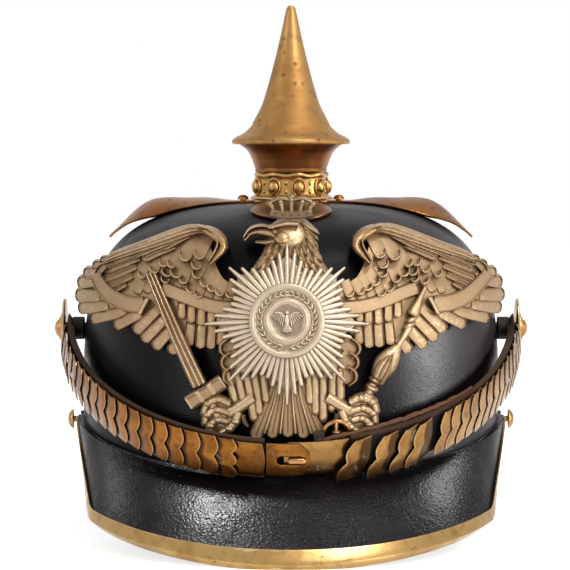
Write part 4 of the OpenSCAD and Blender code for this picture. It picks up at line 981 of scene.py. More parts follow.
def band_section(rho, x, end):
    """A ribbon: a flat band between two raised borders."""
    border = np.exp(-((np.abs(x) - 0.86) / 0.07) ** 2)
    return np.maximum(0.52, border) * np.clip((1 - np.abs(x)) / 0.06, 0, 1)


def blade_section(rho, x, end):
    """A blade: two long flutes between three ridges."""
    ridges = 0.74 + 0.26 * np.cos(x * 3 * math.pi)
    return np.clip((1 - np.abs(x)) / 0.16, 0, 1) * ridges


def plain_section(rho, x, end):
    """A flat bar with softly bevelled sides."""
    return np.clip((1 - np.abs(x)) / 0.3, 0, 1) ** 0.7


SECTIONS = {"slat": (slat_section, 20, 22), "rib": (rib_section, 10, 18), "drop": (drop_section, 14, 16),
            "lock": (lock_section, 8, 14), "band": (band_section, 26, 28), "blade": (blade_section, 30, 20),
            "vane": (vane_section, 26, 26), "reed": (reed_section, 30, 30),
            "plain": (plain_section, 12, 12)}
PATTERNS = {kind: block(kind + "_pattern", across, along)
            for kind, (rule, across, along) in SECTIONS.items()}
# How far up the relief scale the sides of a strip stay, where they melt into the sheet; the free ends keep
# a low value, so a dark painted shadow line lies round them
SOFT_SIDES = {"drop": 0.5, "slat": 0.3, "reed": 0.42}
print("patterns:", list(PATTERNS))


# %% Laying a strip
def store_wear_and_shade(piece, relief, polish):
    """Stores the two numbers that the gilding reads for its wear and its painted shade, one value per
    corner or one for all.
    """
    write_attribute(piece, "relief", lambda x, y, z: relief)
    write_attribute(piece, "polish", lambda x, y, z: polish)
    return piece


def lay(kind, line, width, high, low=0.9, cap=1.0, polish=0.0, point=False, fade=0.15):
    """One strip along [x, z] points. A width is one half width, or a list of them along the line."""
    section = SECTIONS[kind][0]
    piece = copy_of(PATTERNS[kind])
    path = smooth_line(line, 10)
    run = np.concatenate([[0], np.cumsum(np.hypot(*np.diff(path, axis=0).T))])
    way = np.gradient(path, run, axis=0)
    way /= np.hypot(*way.T)[:, None]
    widths = [width, width] if isinstance(width, (int, float)) else width
    width_at = flow(np.linspace(0, run[-1], len(widths)), widths)
    found = {}

    def rule(x, v, up):
        body = np.clip(v * 2, 0, 1) if cap else v
        turn = np.clip(v * 2 - 1, 0, 1) * math.pi / 2 if cap else v * 0
        s = body * run[-1]
        mid = [np.interp(s, run, path[:, k]) for k in (0, 1)]
        d = [np.interp(s, run, way[:, k]) for k in (0, 1)]
        end = np.sin(turn)
        narrow = 1 - end if point else np.cos(turn)
        side = x * width_at(s) * narrow
        past = end * cap * widths[-1]
        rho = np.sqrt((x * np.cos(turn)) ** 2 + end ** 2)
        grown = np.clip(body / fade, 0, 1) if fade else 1
        relief = section(np.minimum(rho, 1), x, end) * (0.4 + 0.6 * grown)
        found["relief"] = np.where(up > 0.5, np.maximum(relief, SOFT_SIDES.get(kind, 0) * (1 - end)), 0)
        rim = np.exp(-((rho - 0.7) / 0.2) ** 2) * end if kind == "drop" else 0
        found["polish"] = np.maximum(polish, rim) * np.where(up > 0.5, 1, 0)
        height = np.where(up > 0.5, low + (high - low) * relief, 0)
        return mid[0] - d[1] * side + d[0] * past, height, mid[1] + d[0] * side + d[1] * past

    reshape(piece, rule)
    return store_wear_and_shade(piece, found["relief"], found["polish"])


def blob(x0, z0, rx, rz, high, turn=0.0, polish=0.0, soft=0.75):
    """A bead or a swelling: half a ball, pressed flat behind."""
    clear_selection()
    bpy.ops.mesh.primitive_uv_sphere_add(segments=28, ring_count=16, radius=1)
    piece = named("blob")
    c, s = math.cos(math.radians(turn)), math.sin(math.radians(turn))
    found = {}

    def rule(x, y, z):
        h = np.maximum(z, 0) ** soft
        found["relief"] = h
        return x0 + x * rx * c - y * rz * s, np.where(z > -0.01, high * h, 0), z0 + x * rx * s + y * rz * c

    reshape(piece, rule)
    return store_wear_and_shade(piece, found["relief"], polish)


def panel(name, stations, tops, bottoms, crown):
    """The bare sheet between a lower and an upper outline."""
    piece = block(name, 30, 60)
    top, bottom = flow(stations, tops), flow(stations, bottoms)
    first, last = stations[0], stations[-1]

    def rule(x, v, up):
        t = (1 - x) / 2
        at = first + (last - first) * v
        swell = crown * np.sin(t * math.pi)
        return at, np.where(up > 0.5, 0.9 + swell, 0), top(at) + (bottom(at) - top(at)) * t

    reshape(piece, rule)
    return store_wear_and_shade(piece, 0.5, 0)


EAGLE_SHIFT = 0.6


def eagle_off(x, z):
    """Stand-off of the plate's back from the leather."""
    return 2.2 + 4.4 * np.minimum(np.abs(x) / 92, 1) ** 3 + 0.02 * np.maximum(z - 125, 0) ** 2


def on_eagle(x, height, z):
    """Presses the flat plate on the dome, a hair to the left as in the photograph."""
    x = x - EAGLE_SHIFT
    return x * MM, dome_y(x, z, eagle_off(x, z) + height) * MM, z * MM


# %% [markdown]
# ## Eagle plate: a wing
#
# The wing hangs from a rolled shoulder. A matte band with fine lines leads from it along the upper
# edge. Under the band lie long narrow slats, and rounded coverts that grow smaller towards the
# middle, each with a bright crescent round its free end where no ribbon covers it. The broad
# primaries fan out round the tip and slant down under the wing, and two rows of short secondaries
# hang beside the star. Each list gives a root, a tip and a half width.

# %% Right wing
WING_SHEET = ([19, 25, 28.5, 31, 34, 40, 46, 52, 60, 68, 74, 80, 86, 90],
              [109.5, 111, 114.5, 120, 130, 133, 131.6, 129, 125.8, 123, 120.6, 117.6, 114, 110],
              [95, 90, 87, 86.5, 87, 88, 86.6, 87.5, 92, 95, 95.5, 96, 97.5, 101])
PRIMARIES = [((70, 119.6), (79.2, 118), 1.6), ((74, 116.6), (82.6, 115.6), 1.9),
             ((78, 113.4), (86.6, 112), 2.4), ((80, 110), (89.2, 107.9), 2.6),
             ((80, 103.4), (89.7, 102.6), 2.9), ((76, 99.6), (88.2, 97.6), 2.6),
             ((68, 98), (82.2, 94.1), 2.4), ((61, 98), (71.4, 92.5), 2.4), ((54, 100), (62.8, 91.2), 2.4),
             ((50.6, 96.6), (59.2, 87.9), 2.4), ((48, 92.4), (54.5, 85.2), 2.4),
             ((44.4, 88), (48, 83.6), 2.3)]
SECONDARIES = [((27.6, 95), (28.2, 87.4), 1.9), ((31.6, 95), (32.2, 86), 2),
               ((35.9, 95), (36.4, 86.2), 2.1), ((40.3, 95), (41, 87), 2.1)]
SHORT_ROW = [((28.2, 100), (28.5, 96.2), 1.8), ((32, 100), (32.1, 95.6), 1.9), ((36, 101), (36.2, 95.4), 2),
             ((40.2, 102), (40.2, 96.4), 2), ((44.2, 103), (44.2, 97.8), 1.9)]
LONG_SLATS = [((41.5, 130.2), (51.7, 125)), ((46, 128.8), (61.3, 122.8)), ((52, 126.6), (66, 120.6)),
              ((56, 127.2), (74.4, 119.8)), ((58.8, 124.3), (75.6, 117.4)), ((62.4, 120.2), (76.7, 114.6)),
              ((64, 116.6), (77, 111)), ((65.4, 113), (76, 107.8)), ((47.8, 125.4), (59.6, 120.2)),
              ((68, 109.6), (76, 105))]
COVERTS = [((34.7, 127), (36.8, 123), 2.6), ((40.1, 126.9), (42.8, 122.3), 2.8),
           ((36.4, 121), (38, 118.6), 2.3), ((36.1, 117.2), (37.7, 114.9), 2.2),
           ((32.7, 114.6), (34.5, 111.6), 2.2), ((30, 112), (31.6, 109.6), 2),
           ((26.8, 110.6), (28.4, 108), 2), ((22.8, 110), (24, 107.2), 2),
           ((41.6, 117), (43.3, 112.6), 2.1), ((44.4, 118.8), (46.4, 115.3), 2.6),
           ((48.8, 118.6), (50.3, 115.3), 2.2), ((49.2, 114.9), (51, 112.4), 1.9),
           ((54, 114.2), (55.2, 111.4), 1.9), ((54.3, 119.3), (55.9, 116.2), 2.1),
           ((59.6, 116.6), (61, 114), 1.9), ((57.3, 110), (58.9, 107.4), 1.8),
           ((61.6, 110), (63, 106.8), 1.8), ((46.2, 121.2), (48.5, 118.6), 2),
           ((50.1, 121.8), (52, 119), 2.1), ((39, 111.6), (40.4, 108.9), 2),
           ((35.6, 110.2), (37, 107.1), 2), ((32.2, 108), (33.4, 105.4), 1.8),
           ((28.4, 106.8), (29.2, 104.4), 1.8), ((45, 111.4), (46.5, 108.8), 1.9),
           ((24.4, 106.2), (25, 103.8), 1.8), ((41.6, 109), (42.6, 106.6), 1.7),
           ((48.8, 111.4), (50, 109.4), 1.7)]


def crescent(root, tip, w):
    """The raised bright rim along a covert's free end, left out where a ribbon lies over it."""
    tip = np.array(tip, float)
    way = tip - np.array(root)
    way /= np.hypot(*way)
    across = np.array([-way[1], way[0]])
    around = np.radians([5, 45, 90, 135, 175])
    line = [tuple(tip + w * (np.cos(t) * across + 0.95 * np.sin(t) * way)) for t in around]
    return lay("rib", line, [0.3, 0.6, 0.8, 0.6, 0.3], 4.3, low=1.4, polish=0.3, cap=0.3, fade=0)


def wing():
    made = [panel("wing_sheet", *WING_SHEET, crown=0.4)]
    for root, tip, w in PRIMARIES:
        made.append(lay("vane", [root, tip], [w * 0.98, w * 1.1], 2.6, cap=0.8))
    for root, tip, w in SECONDARIES:
        made.append(lay("vane", [root, tip], [w * 0.98, w * 1.06], 2.6, cap=0.8))
    for root, tip, w in SHORT_ROW:
        made.append(lay("vane", [root, tip], [w * 0.9, w], 3.3, low=1.6, cap=0.9))
    for root, tip in LONG_SLATS:
        made.append(lay("slat", [root, tip], [1.6, 1.85], 2.8, low=1.3, cap=1.1))
    for root, tip, w in COVERTS:
        long_root = tuple(1.5 * np.array(root) - 0.5 * np.array(tip))
        made.append(lay("drop", [long_root, tip], [w * 1.05, w * 1.15], 3.2, low=0.9, cap=1, fade=0.7))
        if tip[1] > 103 + 0.235 * (tip[0] - 20):
            made.append(crescent(root, tip, w))
    lead = [(34.7, 131.6), (38, 131.9), (42, 131.2), (48, 129.2), (56, 126.3), (64, 123.4), (72, 120.6),
            (77, 118.4)]
    made.append(lay("reed", lead, [1.6, 2.6, 2.8, 2.6, 2.4, 2.2, 1.7], 3.2, cap=0.8, fade=0))
    roll = [(35.2, 132), (30.4, 129.8), (27.4, 126.8), (27.6, 124.6), (29.7, 121.8), (32.4, 118.6)]
    made.append(lay("rib", roll, [1.8, 2.4, 2.4, 2.1, 1.6, 0.8], 4.3, polish=0.9, fade=0))
    ridge = [(38.2, 133.6), (34.7, 132.9), (31.4, 131), (29.6, 128), (30, 125), (31.9, 121.6), (33, 119.8)]
    made.append(lay("rib", ridge, 0.55, 4.9, polish=0.2, fade=0))
    return close_up(join(made, "wing_right"))


right_wing = wing()
left_wing = copy_of(right_wing, "wing_left")
reshape(left_wing, lambda x, y, z: (-x, y, z - 0.5))
print("wing faces:", len(right_wing.data.polygons))

# %% [markdown]
# ## Eagle plate: ribbons, sword and sceptre
#
# The ribbons are bare bands with raised borders, folded at their outer ends. The sword's blade has
# two long flutes, its guard carries three sunken squares, and the sceptre is a row of turned knobs
# and collars held by the claw.

# %% Ribbons
def ribbons(inner, inner_widths, outer, outer_widths, knot, fold):
    """The two bare stretches on one side, the knot between them and the fold at the outer end."""
    return [lay("band", inner, inner_widths, 3.9, low=2.6, cap=0, fade=0),
            lay("band", outer, outer_widths, 3.8, low=2.5, cap=0, fade=0),
            lay("rib", knot, 1.1, 4.6, low=2.4, fade=0),
            lay("band", fold, [1.3, 1.8, 1.5], 3.4, low=2, cap=0, fade=0)]


right_ribbons = ribbons(
    inner=[(20.2, 100.5), (25.4, 100.9), (31.2, 101.5), (39.4, 103.7), (47.2, 106.6), (52, 108)],
    inner_widths=[3, 2.9, 2.8],
    outer=[(59.6, 101), (66.6, 101.4), (73.5, 103.6), (79.5, 107.9), (84, 112)],
    outer_widths=[3.5, 3.5, 3.3, 2.8],
    knot=[(57.4, 104), (59.4, 100.4), (60.8, 97.6)],
    fold=[(78.6, 116.8), (81, 115.2), (82.8, 112.4)])
left_ribbons = ribbons(
    inner=[(-52.4, 107.8), (-47.4, 106.2), (-39.6, 103.6), (-31.4, 101.2), (-23, 100.4)],
    inner_widths=[2.8, 2.9, 3],
    outer=[(-82.4, 111.6), (-79.4, 107), (-74.4, 103.2), (-67.4, 100.8), (-60.4, 100.6)],
    outer_widths=[2.8, 3.2, 3.4],
    knot=[(-58.6, 103.4), (-60.2, 100.4), (-61.6, 97.6)],
    fold=[(-77.6, 115.6), (-79.8, 114), (-81.4, 111.4)])


# %% Sword and sceptre
def squares(start, end, half, count, high):
    """A bar with sunken square panels, for the sword's guard."""
    made = [lay("plain", [start, end], half, high, low=2.4, cap=0, fade=0)]
    way = np.array(end) - np.array(start)
    for k in range(count):
        mid = np.array(start) + way * (k + 0.5) / count
        half_way = way / count * 0.34
        made.append(lay("band", [tuple(mid - half_way), tuple(mid + half_way)], half * 0.72, high + 0.9,
                        low=high - 0.6, cap=0, fade=0))
    return made


blade = lay("blade", [(-57.6, 113.8), (-51, 99.6), (-44, 84.3), (-36.9, 69.4)], [2.4, 2.7, 3, 3.3], 4.7,
            low=2.8, cap=0.12, fade=0)
guard = squares((-41.3, 61.3), (-27, 71), 3.3, 3, 4.4)
grip = lay("rib", [(-33.5, 66), (-29.8, 57.6)], [2.2, 2.5], 4.4, low=1)
pommel = blob(-29.2, 56, 3, 2.6, 4.6)
sword = [blade, *guard, grip, pommel]

knob = lay("rib", [(55.6, 108.2), (54, 105.2), (52.2, 101.5), (50.6, 98)], [1.1, 1.2, 2, 2.7], 5.2, low=2.6,
           polish=0.5, cap=0.6, fade=0)
sceptre = [knob, blob(49.8, 95.4, 2.9, 1.5, 4.8, 28), blob(48.8, 93, 3.1, 1.5, 4.5, 28)]
sceptre.append(lay("rib", [(48.8, 92.4), (46.7, 88.8), (43.2, 83.8)], [2.2, 1.4, 1.6], 4, fade=0))
sceptre.append(lay("rib", [(43.8, 84.6), (41, 80.6), (38, 76.4), (35.6, 72.6)], [1.8, 4.2, 4.9, 3.2], 5.2,
                   low=2.2, fade=0, cap=0.4))
for shift in (-1, 0, 1):
    sceptre.append(lay("lock", [(35.4 + shift * 1.4, 71.4 - shift * 1.6),
                                (38.3 + shift * 1.9, 77 - shift * 1.2), (41 + shift * 0.8, 81.6)],
                       [0.9, 1.3, 0.5], 6, low=4, point=True, fade=0))
for k in range(3):
    sceptre.append(blob(34.7 - k * 1.5, 71.2 - k * 3.1, 3 - k * 0.1, 1.5, 4.8, -28))
sceptre.append(lay("rib", [(33.6, 70), (29.8, 61)], [1.9, 1.9], 3.4, fade=0))
print("ribbons, sword and sceptre:", len(right_ribbons) + len(left_ribbons) + len(sword) + len(sceptre))

# %% [markdown]
# ## Eagle plate: body, head and tail
#
# The neck is covered by rows of pointed locks that flare outward on both sides. The thighs are
# bundles of long ribs, and the tail is a fan of broad ribs with thin ones in between. Only the head,
# the thighs and the tail show round the star.

# %% Body
BODY_WIDTHS = flow([66, 76, 88, 100, 110, 116, 124, 131, 136], [20, 22, 22, 22, 20, 15.5, 10.5, 8, 5])
torso = block("torso", 24, 40)
reshape(torso, lambda x, v, up: (x * BODY_WIDTHS(66 + 70 * v),
                                 np.where(up > 0.5, 0.9 + 0.9 * (1 - x * x), 0), 66 + 70 * v))
# A low relief number: the bare breast between the locks takes mostly the dark painted shade of the foot.
store_wear_and_shade(torso, 0.12, 0)
body = [torso]

# Neck locks, in rows from the breast up, each row over the one below
for row in range(7):
    z = 112 + row * 2.9
    half = 15.5 - row * 1.35
    count = 9 - row // 2
    for k in range(count):
        t = (k + 0.5 * (1 + (row % 2) * 0.5)) / count * 2 - 1
        x = t * half
        body.append(lay("lock", [(x * 0.86, z + 4.6), (x * 0.98, z + 1),
                                 (x * 1.12, z - 1.8 + abs(t) * 1.4)],
                        [1.5, 1.9, 1.4], 3 + row * 0.12, low=1.4, point=True, cap=1.4, fade=0.3))

# Thighs, with the ribs' roots under the star
left_ribs = [((-26, 77), (-22.5, 64.4)), ((-22.1, 78), (-18.6, 62.2)), ((-18.2, 78), (-14.7, 57.2)),
             ((-14.7, 78), (-12.4, 59.6)), ((-11.3, 78), (-9.7, 64.6))]
right_ribs = [((6.9, 78), (8, 63.9)), ((9.9, 78), (10.3, 59.6)), ((13.4, 78), (13.4, 56.9)),
              ((17.3, 78), (16.9, 61)), ((20, 77), (20.4, 65.2))]
for root, tip in left_ribs + right_ribs:
    body.append(lay("rib", [root, tip], [1.9, 1.95], 3.6, cap=1.3))

# Tail fan, flaring towards its end
for k, (tip_x, w) in enumerate([(-13.4, 2.9), (-7, 2.7), (-0.8, 2.8), (5.4, 2.7), (11.6, 2.9)]):
    root_x = -5.6 + 2.4 * k
    fan = [(root_x, 74), (root_x + 0.3 * (tip_x - root_x), 64), (tip_x, 51.3 - 0.5 * abs(k - 2))]
    body.append(lay("slat", fan, [1.5, 2, w], 3.2, low=0.6, cap=1))
for k, tip_x in enumerate([-10.2, -3.9, 2.3, 8.5]):
    root_x = -4.3 + 2.4 * k
    fan = [(root_x, 74), (root_x + 0.3 * (tip_x - root_x), 64), (tip_x, 50.6)]
    body.append(lay("rib", fan, [0.7, 0.7, 0.75], 3.5, low=0.6, cap=1))

# Leaf-like lobes beside the star, each with a plain outer rim
for side in (-1, 1):
    for k in range(3):
        x, z = side * (23.6 - k * 0.7), 86 - k * 5.6
        body.append(lay("drop", [(x - side * 2.4, z + 1.4), (x + side * 1.4, z - 2)], [2.6, 3.2],
                        3.7 + 0.3 * k, cap=0.9, fade=0))
        rim = [(x + side * 1.2, z + 2.6), (x + side * 4.2, z + 0.2), (x + side * 4.4, z - 3),
               (x + side * 1.6, z - 5.2)]
        body.append(lay("rib", rim, [0.5, 0.8, 0.8, 0.4], 4.4 + 0.3 * k, low=1.6, polish=0.8, fade=0))

# %% Legs and claws
FINGERS = ([(24.2, 62), (28.8, 63.8), (33.4, 62), (35, 58.6)],
           [(24.6, 58.4), (29.6, 59.6), (33.6, 57.4), (34.6, 54.2)],
           [(25.2, 54.8), (29.2, 55.4), (32.4, 53), (32.6, 50.2)],
           [(20.8, 59), (22.2, 55), (24.8, 52), (27.6, 50.4)])
for side, lift in ((-1, 0), (1, 0.6)):
    leg = [(side * 15, 65), (side * 19.5, 61.6 + lift), (side * 24.5, 58.6 + lift)]
    body.append(lay("rib", leg, [3.2, 2.8, 3], 4.6, fade=0))
    body.append(blob(side * 27.8, 57 + lift, 6.8, 7, 3.4, soft=0.4))
    for k, finger in enumerate(FINGERS):
        line = [(side * x, z + lift) for x, z in finger]
        body.append(lay("rib", line, [1.9, 2.1, 2, 1.5], 5.2 - 0.2 * k, low=1.6, cap=1.4, fade=0))
        for x, z in line[1:3]:
            body.append(blob(x, z, 2.4, 2.1, 6 - 0.2 * k))
    for x, z in ((30.6, 48.6), (25.6, 48.2), (18.6, 55)):
        talon = [(side * (x + 0.6), z + 2.6 + lift), (side * x, z + lift),
                 (side * (x - 1.4), z - 1.8 + lift)]
        body.append(lay("lock", talon, [1.4, 1.2, 0.7], 4.4, low=1, point=True, fade=0))

# %% Head
body.append(blob(-0.6, 130.2, 8.6, 6.1, 4.4, soft=0.55))
body.append(blob(-3.2, 129, 4.2, 3.2, 4.9, polish=0.7, soft=0.4))
for k in range(5):
    body.append(lay("lock", [(4.5 + k * 0.8, 135.2 - k * 1.6), (7.6 + k * 0.6, 132.8 - k * 1.9),
                             (10.8 - k * 0.2, 130.8 - k * 2.2)], [1.7, 1.7, 1], 4.2 - k * 0.2, low=2,
                    point=True, cap=1.6))
body.append(lay("rib", [(3.4, 134.2), (-2, 134.3), (-8.3, 132.7)], [1.1, 1.2, 0.9], 5.6, low=3, polish=0.2,
                fade=0))
body.append(lay("rib", [(-6.2, 130.2), (-11, 131.2), (-15.6, 130.6), (-18.2, 127.8)], [2.3, 2.1, 1.4, 0.5],
                4.8, low=1, polish=0.3, fade=0, cap=2))
body.append(lay("rib", [(-6.6, 132.2), (-11.4, 133.4), (-16.2, 132.2), (-18.9, 128.8)],
                [0.5, 0.65, 0.6, 0.35], 5.6, low=1, fade=0))
body.append(lay("rib", [(-6.4, 127.4), (-10, 126.7), (-13.8, 126.8)], [1.1, 1, 0.5], 4.4, low=1, polish=0.4,
                fade=0))
body.append(blob(-6.3, 131, 1.5, 1.1, 6.6))
body.append(blob(-6.5, 131, 0.7, 0.55, 7.1, polish=1))
body.append(blob(-13.2, 130.6, 0.7, 0.35, 5.5, 12))
eagle_body = close_up(join(body, "eagle_body"))
print("body faces:", len(eagle_body.data.polygons))

# %% Press the plate on the dome
fittings = close_up(join(right_ribbons + left_ribbons + sword + sceptre, "eagle_fittings"))
eagle_pieces = [right_wing, left_wing, eagle_body, fittings]
for piece in eagle_pieces:
    face_outward(reshape(piece, on_eagle))
    finish_piece(piece, "helmet", "eagle_brass", "eagle_plate", angle=50, unit=1)

# %% [markdown]
# ## Crown on the eagle's head
#
# The crown is pierced: a low band, five bars that lean outward, an arch over them and a small orb.
# It stands clear of the dome on the eagle's head, and the dark leather shows through its openings.

# %% Crown
CROWN_Z, CROWN_FOOT, CROWN_LIFT = 136.2, 137, 0.6
CROWN_WIDE, CROWN_HIGH = 0.9, 0.92
crown_y = float(dome_y(0, CROWN_Z, eagle_off(0, CROWN_Z) + 3))


def crown_bar(line, width, high):
    """A rounded bar of the crown, laid out like a strip of the plate."""
    return lay("rib", line, width, high, low=0.4, fade=0, cap=0.8)


crown_bits = [lay("band", [(-9.6, 138.4), (-5, 137.5), (0, 137.2), (5, 137.5), (9.6, 138.4)], 1.9, 2.6,
                  low=1.4, cap=0, fade=0)]
for k in range(5):
    t = (k - 2) / 2
    crown_bits.append(crown_bar([(t * 8, 138.4), (t * 9, 141), (t * 9.8, 143.2 - abs(t) * 1.6)],
                                [1.1, 1.05, 1.5], 2.4))
    crown_bits.append(blob(t * 9.9, 143.9 - abs(t) * 1.8, 1.6, 1.3, 2.7))
arch = [(-10, 141.6), (-8.4, 143.6), (-4.8, 144.6), (-1.2, 144), (0, 143.6), (1.2, 144), (4.8, 144.6),
        (8.4, 143.6), (10, 141.6)]
crown_bits.append(crown_bar(arch, [0.9, 1.1, 1.15, 1, 0.9, 1, 1.15, 1.1, 0.9], 2.1))
crown_bits.append(blob(0, 145, 1.9, 1.6, 2.9))
for k in range(5):
    crown_bits.append(blob((k - 2) * 3.6, 137.1 + 0.25 * abs(k - 2) ** 1.5, 0.75, 0.6, 3))
crown = close_up(join(crown_bits, "crown"))


def on_crown(x, height, z):
    """From the crown's flat layout to the helmet, in metres."""
    up = CROWN_FOOT + (z - CROWN_FOOT) * CROWN_HIGH + CROWN_LIFT
    return x * CROWN_WIDE * MM, (crown_y - height) * MM, up * MM


face_outward(reshape(crown, on_crown))
finish_piece(crown, "helmet", "eagle_brass", "eagle_crown", finish="crown_brass", angle=50, unit=1)

# %% [markdown]
# ## Star
#
# The star is a domed sheet with 56 slender rays. The rays are long at the eight points and short in
# the notches between them. One ray is modelled as a convex rib and copied round, each copy with its
# own length. The whole star then bends back over the dome, more at the top than at the bottom.

# %% Star rays
STAR_X, STAR_Z, STAR_LEAN = -1.8, 95.5, 12.7
STAR_R, NOTCH_R, FLUTES = 33.5, 22.5, 56
star_y = float(dome_y(STAR_X, STAR_Z, 6.7))


def ray_reach(angle):
    """Length of a ray at an angle in degrees."""
    m = np.abs((angle + 382.5) % 45 - 22.5) / 22.5
    return STAR_R + (NOTCH_R - STAR_R) * m ** 0.8


def star_drop(x, y):
    r = np.hypot(x, y)
    return (7 + 2 * y / np.maximum(r, 0.1)) * (np.maximum(r - 12, 0) / 21.5) ** 1.35


sheet = turned("star_sheet", [[2, 0]] + [[r, 0.45] for r in np.linspace(2, 20, 10)] + [[20, 0]] +
               [[r, 0] for r in np.linspace(18, 2, 9)], around=168)


def to_star(x, y, z):
    angle = np.degrees(np.arctan2(y, x))
    grow = ray_reach(angle) * 0.86 / 20
    return x * grow, y * grow, z


reshape(sheet, to_star)
# A low relief number: between the rays the sheet takes the dark painted shade of the foot.
store_wear_and_shade(sheet, 0.1, 0)
star_bits = [sheet]
for j in range(FLUTES):
    angle = j * 360 / FLUTES
    reach = float(ray_reach(angle))
    long_share = (reach - NOTCH_R) / (STAR_R - NOTCH_R)
    ray = lay("rib", [(10, 0), (21, 0), (reach - 0.6, 0)], [0.62, 1.2, 1.1 - 0.55 * long_share],
              1.75 + 0.1 * (j % 2), low=0.2, cap=1.1, fade=0)
    c, s = math.cos(math.radians(angle)), math.sin(math.radians(angle))
    reshape(ray, lambda x, h, z: (x * c - z * s, x * s + z * c, h))
    star_bits.append(ray)
star = close_up(join(star_bits, "star"))


def on_star(x, y, z):
    """From the star's own frame to the helmet, in metres."""
    lean = math.radians(90 - STAR_LEAN)
    return ((x + STAR_X) * MM, (star_y + y * math.cos(lean) - z * math.sin(lean)) * MM,
            (STAR_Z + y * math.sin(lean) + z * math.cos(lean)) * MM)


reshape(star, lambda x, y, z: on_star(x, y, z - star_drop(x, y)))
face_outward(star)
finish_piece(star, "helmet", "star_brass", "star_badge", angle=50, unit=1)

# %% [markdown]
# ## Medallion
#
# A turned disc with three raised rings. The band between them would carry words on some plates; here
# it has a wreath of plain laurel leaves. In the middle a small generic bird spreads its wings.

# %% Medallion
MEDALLION_R, MEDALLION_Z = 15.4, 1.8
rings = flow([0, 6.9, 7.3, 7.8, 8.3, 8.8, 9.4, 12.6, 13.1, 13.6, 14.2, 14.8, 15.2, MEDALLION_R],
             [1.1, 1, 1.2, 1.75, 1.75, 1.2, 0.95, 0.95, 1.15, 1.6, 1.65, 1.4, 1, 0.7])
profile = [[MEDALLION_R, 0]]
profile += [[float(r), float(rings(r))] for r in np.linspace(MEDALLION_R, 0.3, 64)]
profile += [[0, 1.1], [0, 0], [MEDALLION_R, 0]]
disc = turned("disc", profile, around=128)
with editing(disc):
    bpy.ops.mesh.delete_loose()
write_attribute(disc, "relief", lambda x, y, z: np.clip((z - 0.7) / 1.05, 0, 1))
write_attribute(disc, "polish", lambda x, y, z: 0)
medal_bits = [disc]


def set_on_disc(piece, angle, base=0.9):
    """Turns a small strip to an angle on the disc."""
    c, s = math.cos(angle), math.sin(angle)
    reshape(piece, lambda x, h, z: (x * c - z * s, x * s + z * c, h + base))
    return piece


leaf_pairs = 15
for k in range(2 * leaf_pairs):
    side = 1 if k < leaf_pairs else -1
    angle = math.radians(-90 + side * (k % leaf_pairs + 0.7) * 180 / leaf_pairs)
    for lean in (-1, 1):
        leaf = lay("lock", [(11, -0.2 * side), (11 + lean * 0.7, side * 0.9),
                            (11 + lean * 1.05, side * 2.2)],
                   [0.35, 0.62, 0.4], 0.62, low=0, point=True, cap=1.4, fade=0)
        medal_bits.append(set_on_disc(leaf, angle, 0.93))
    berry = blob(11, side * 1.5, 0.26, 0.26, 0.55)
    medal_bits.append(set_on_disc(berry, angle, 0.93))

# The small bird: a body, a head, two fanned wings and a tail
bird = [lay("lock", [(0, 2.2), (0, 0), (0, -2.2)], [0.9, 1.5, 0.7], 1, low=0, cap=1, fade=0),
        blob(0, 3.1, 0.8, 0.8, 1),
        lay("lock", [(-0.3, 3.3), (-1.4, 3.2)], 0.35, 0.8, low=0, point=True, fade=0)]
for side in (-1, 1):
    bird.append(lay("rib", [(side * 0.8, 1.4), (side * 2.8, 3), (side * 4.8, 3.2)], [0.5, 0.6, 0.4], 0.9,
                    low=0, fade=0))
    for k in range(6):
        root = (side * (1.2 + k * 0.6), 1.7 + k * 0.22)
        tip = (side * (1.9 + k * 0.82), -2 + k * 0.72)
        bird.append(lay("rib", [root, tip], [0.3, 0.38], 0.75, low=0, fade=0))
    bird.append(lay("rib", [(side * 0.5, -1.6), (side * 1.5, -3.6)], [0.3, 0.4], 0.6, low=0, fade=0))
for k in range(5):
    bird.append(lay("rib", [((k - 2) * 0.3, -2), ((k - 2) * 0.75, -4.8 + 0.2 * abs(k - 2))], [0.25, 0.38],
                    0.7, low=0, fade=0))
for piece in bird:
    medal_bits.append(set_on_disc(piece, 0, 1))
medallion = close_up(join(medal_bits, "medallion"), 0.002)
reshape(medallion, lambda x, y, z: on_star(x, y, z + MEDALLION_Z))
face_outward(medallion)
finish_piece(medallion, "helmet", "star_brass", "star_medallion", angle=50, unit=1)
drop(*PATTERNS.values())

# %% [markdown]
# ## Chin-scales: the strap's own frame
#
# Both halves of the chin-strap lie on one ellipse, seen along a plane that slopes down from the
# bosses to the front. A place on it is a distance along the strap from the front's middle, a height
# off the leather's inner face, and a height across the strap.

# %% Frame of the strap
BOSS_Z, STRAP_TILT = 85.5, math.radians(20.9)
STRAP_HALF_W, STRAP_REACH, STRAP_T = 96.2, 125, 1.8
arc_angles = np.radians(np.arange(0, 92, 2))
arc_steps = np.hypot(np.diff(97.2 * np.sin(arc_angles)), np.diff(126 * np.cos(arc_angles)))
arc_run = np.concatenate([[0], np.cumsum(arc_steps)])
STRAP_L = float(arc_run[-1])


def in_strap_frame(x, y, z):
    """From the untilted strap frame to the helmet's."""
    c, s = math.cos(STRAP_TILT), math.sin(STRAP_TILT)
    return x, y * c - z * s, BOSS_Z + y * s + z * c


def on_strap(s, off, w):
    """From strap places, in millimetres, to the helmet's frame. Negative s is the left half."""
    q = np.interp(np.abs(s), arc_run, arc_angles)
    past = np.maximum(np.abs(s) - STRAP_L, 0)
    x = (STRAP_HALF_W + off) * np.sin(q) * np.sign(s)
    y = -(STRAP_REACH + off) * np.cos(q) + past
    return in_strap_frame(x, y, w)


# %% Strap leather
LUG_FROM, LUG_TO, LEATHER_HALF_W = 9, 6.4, 8.3


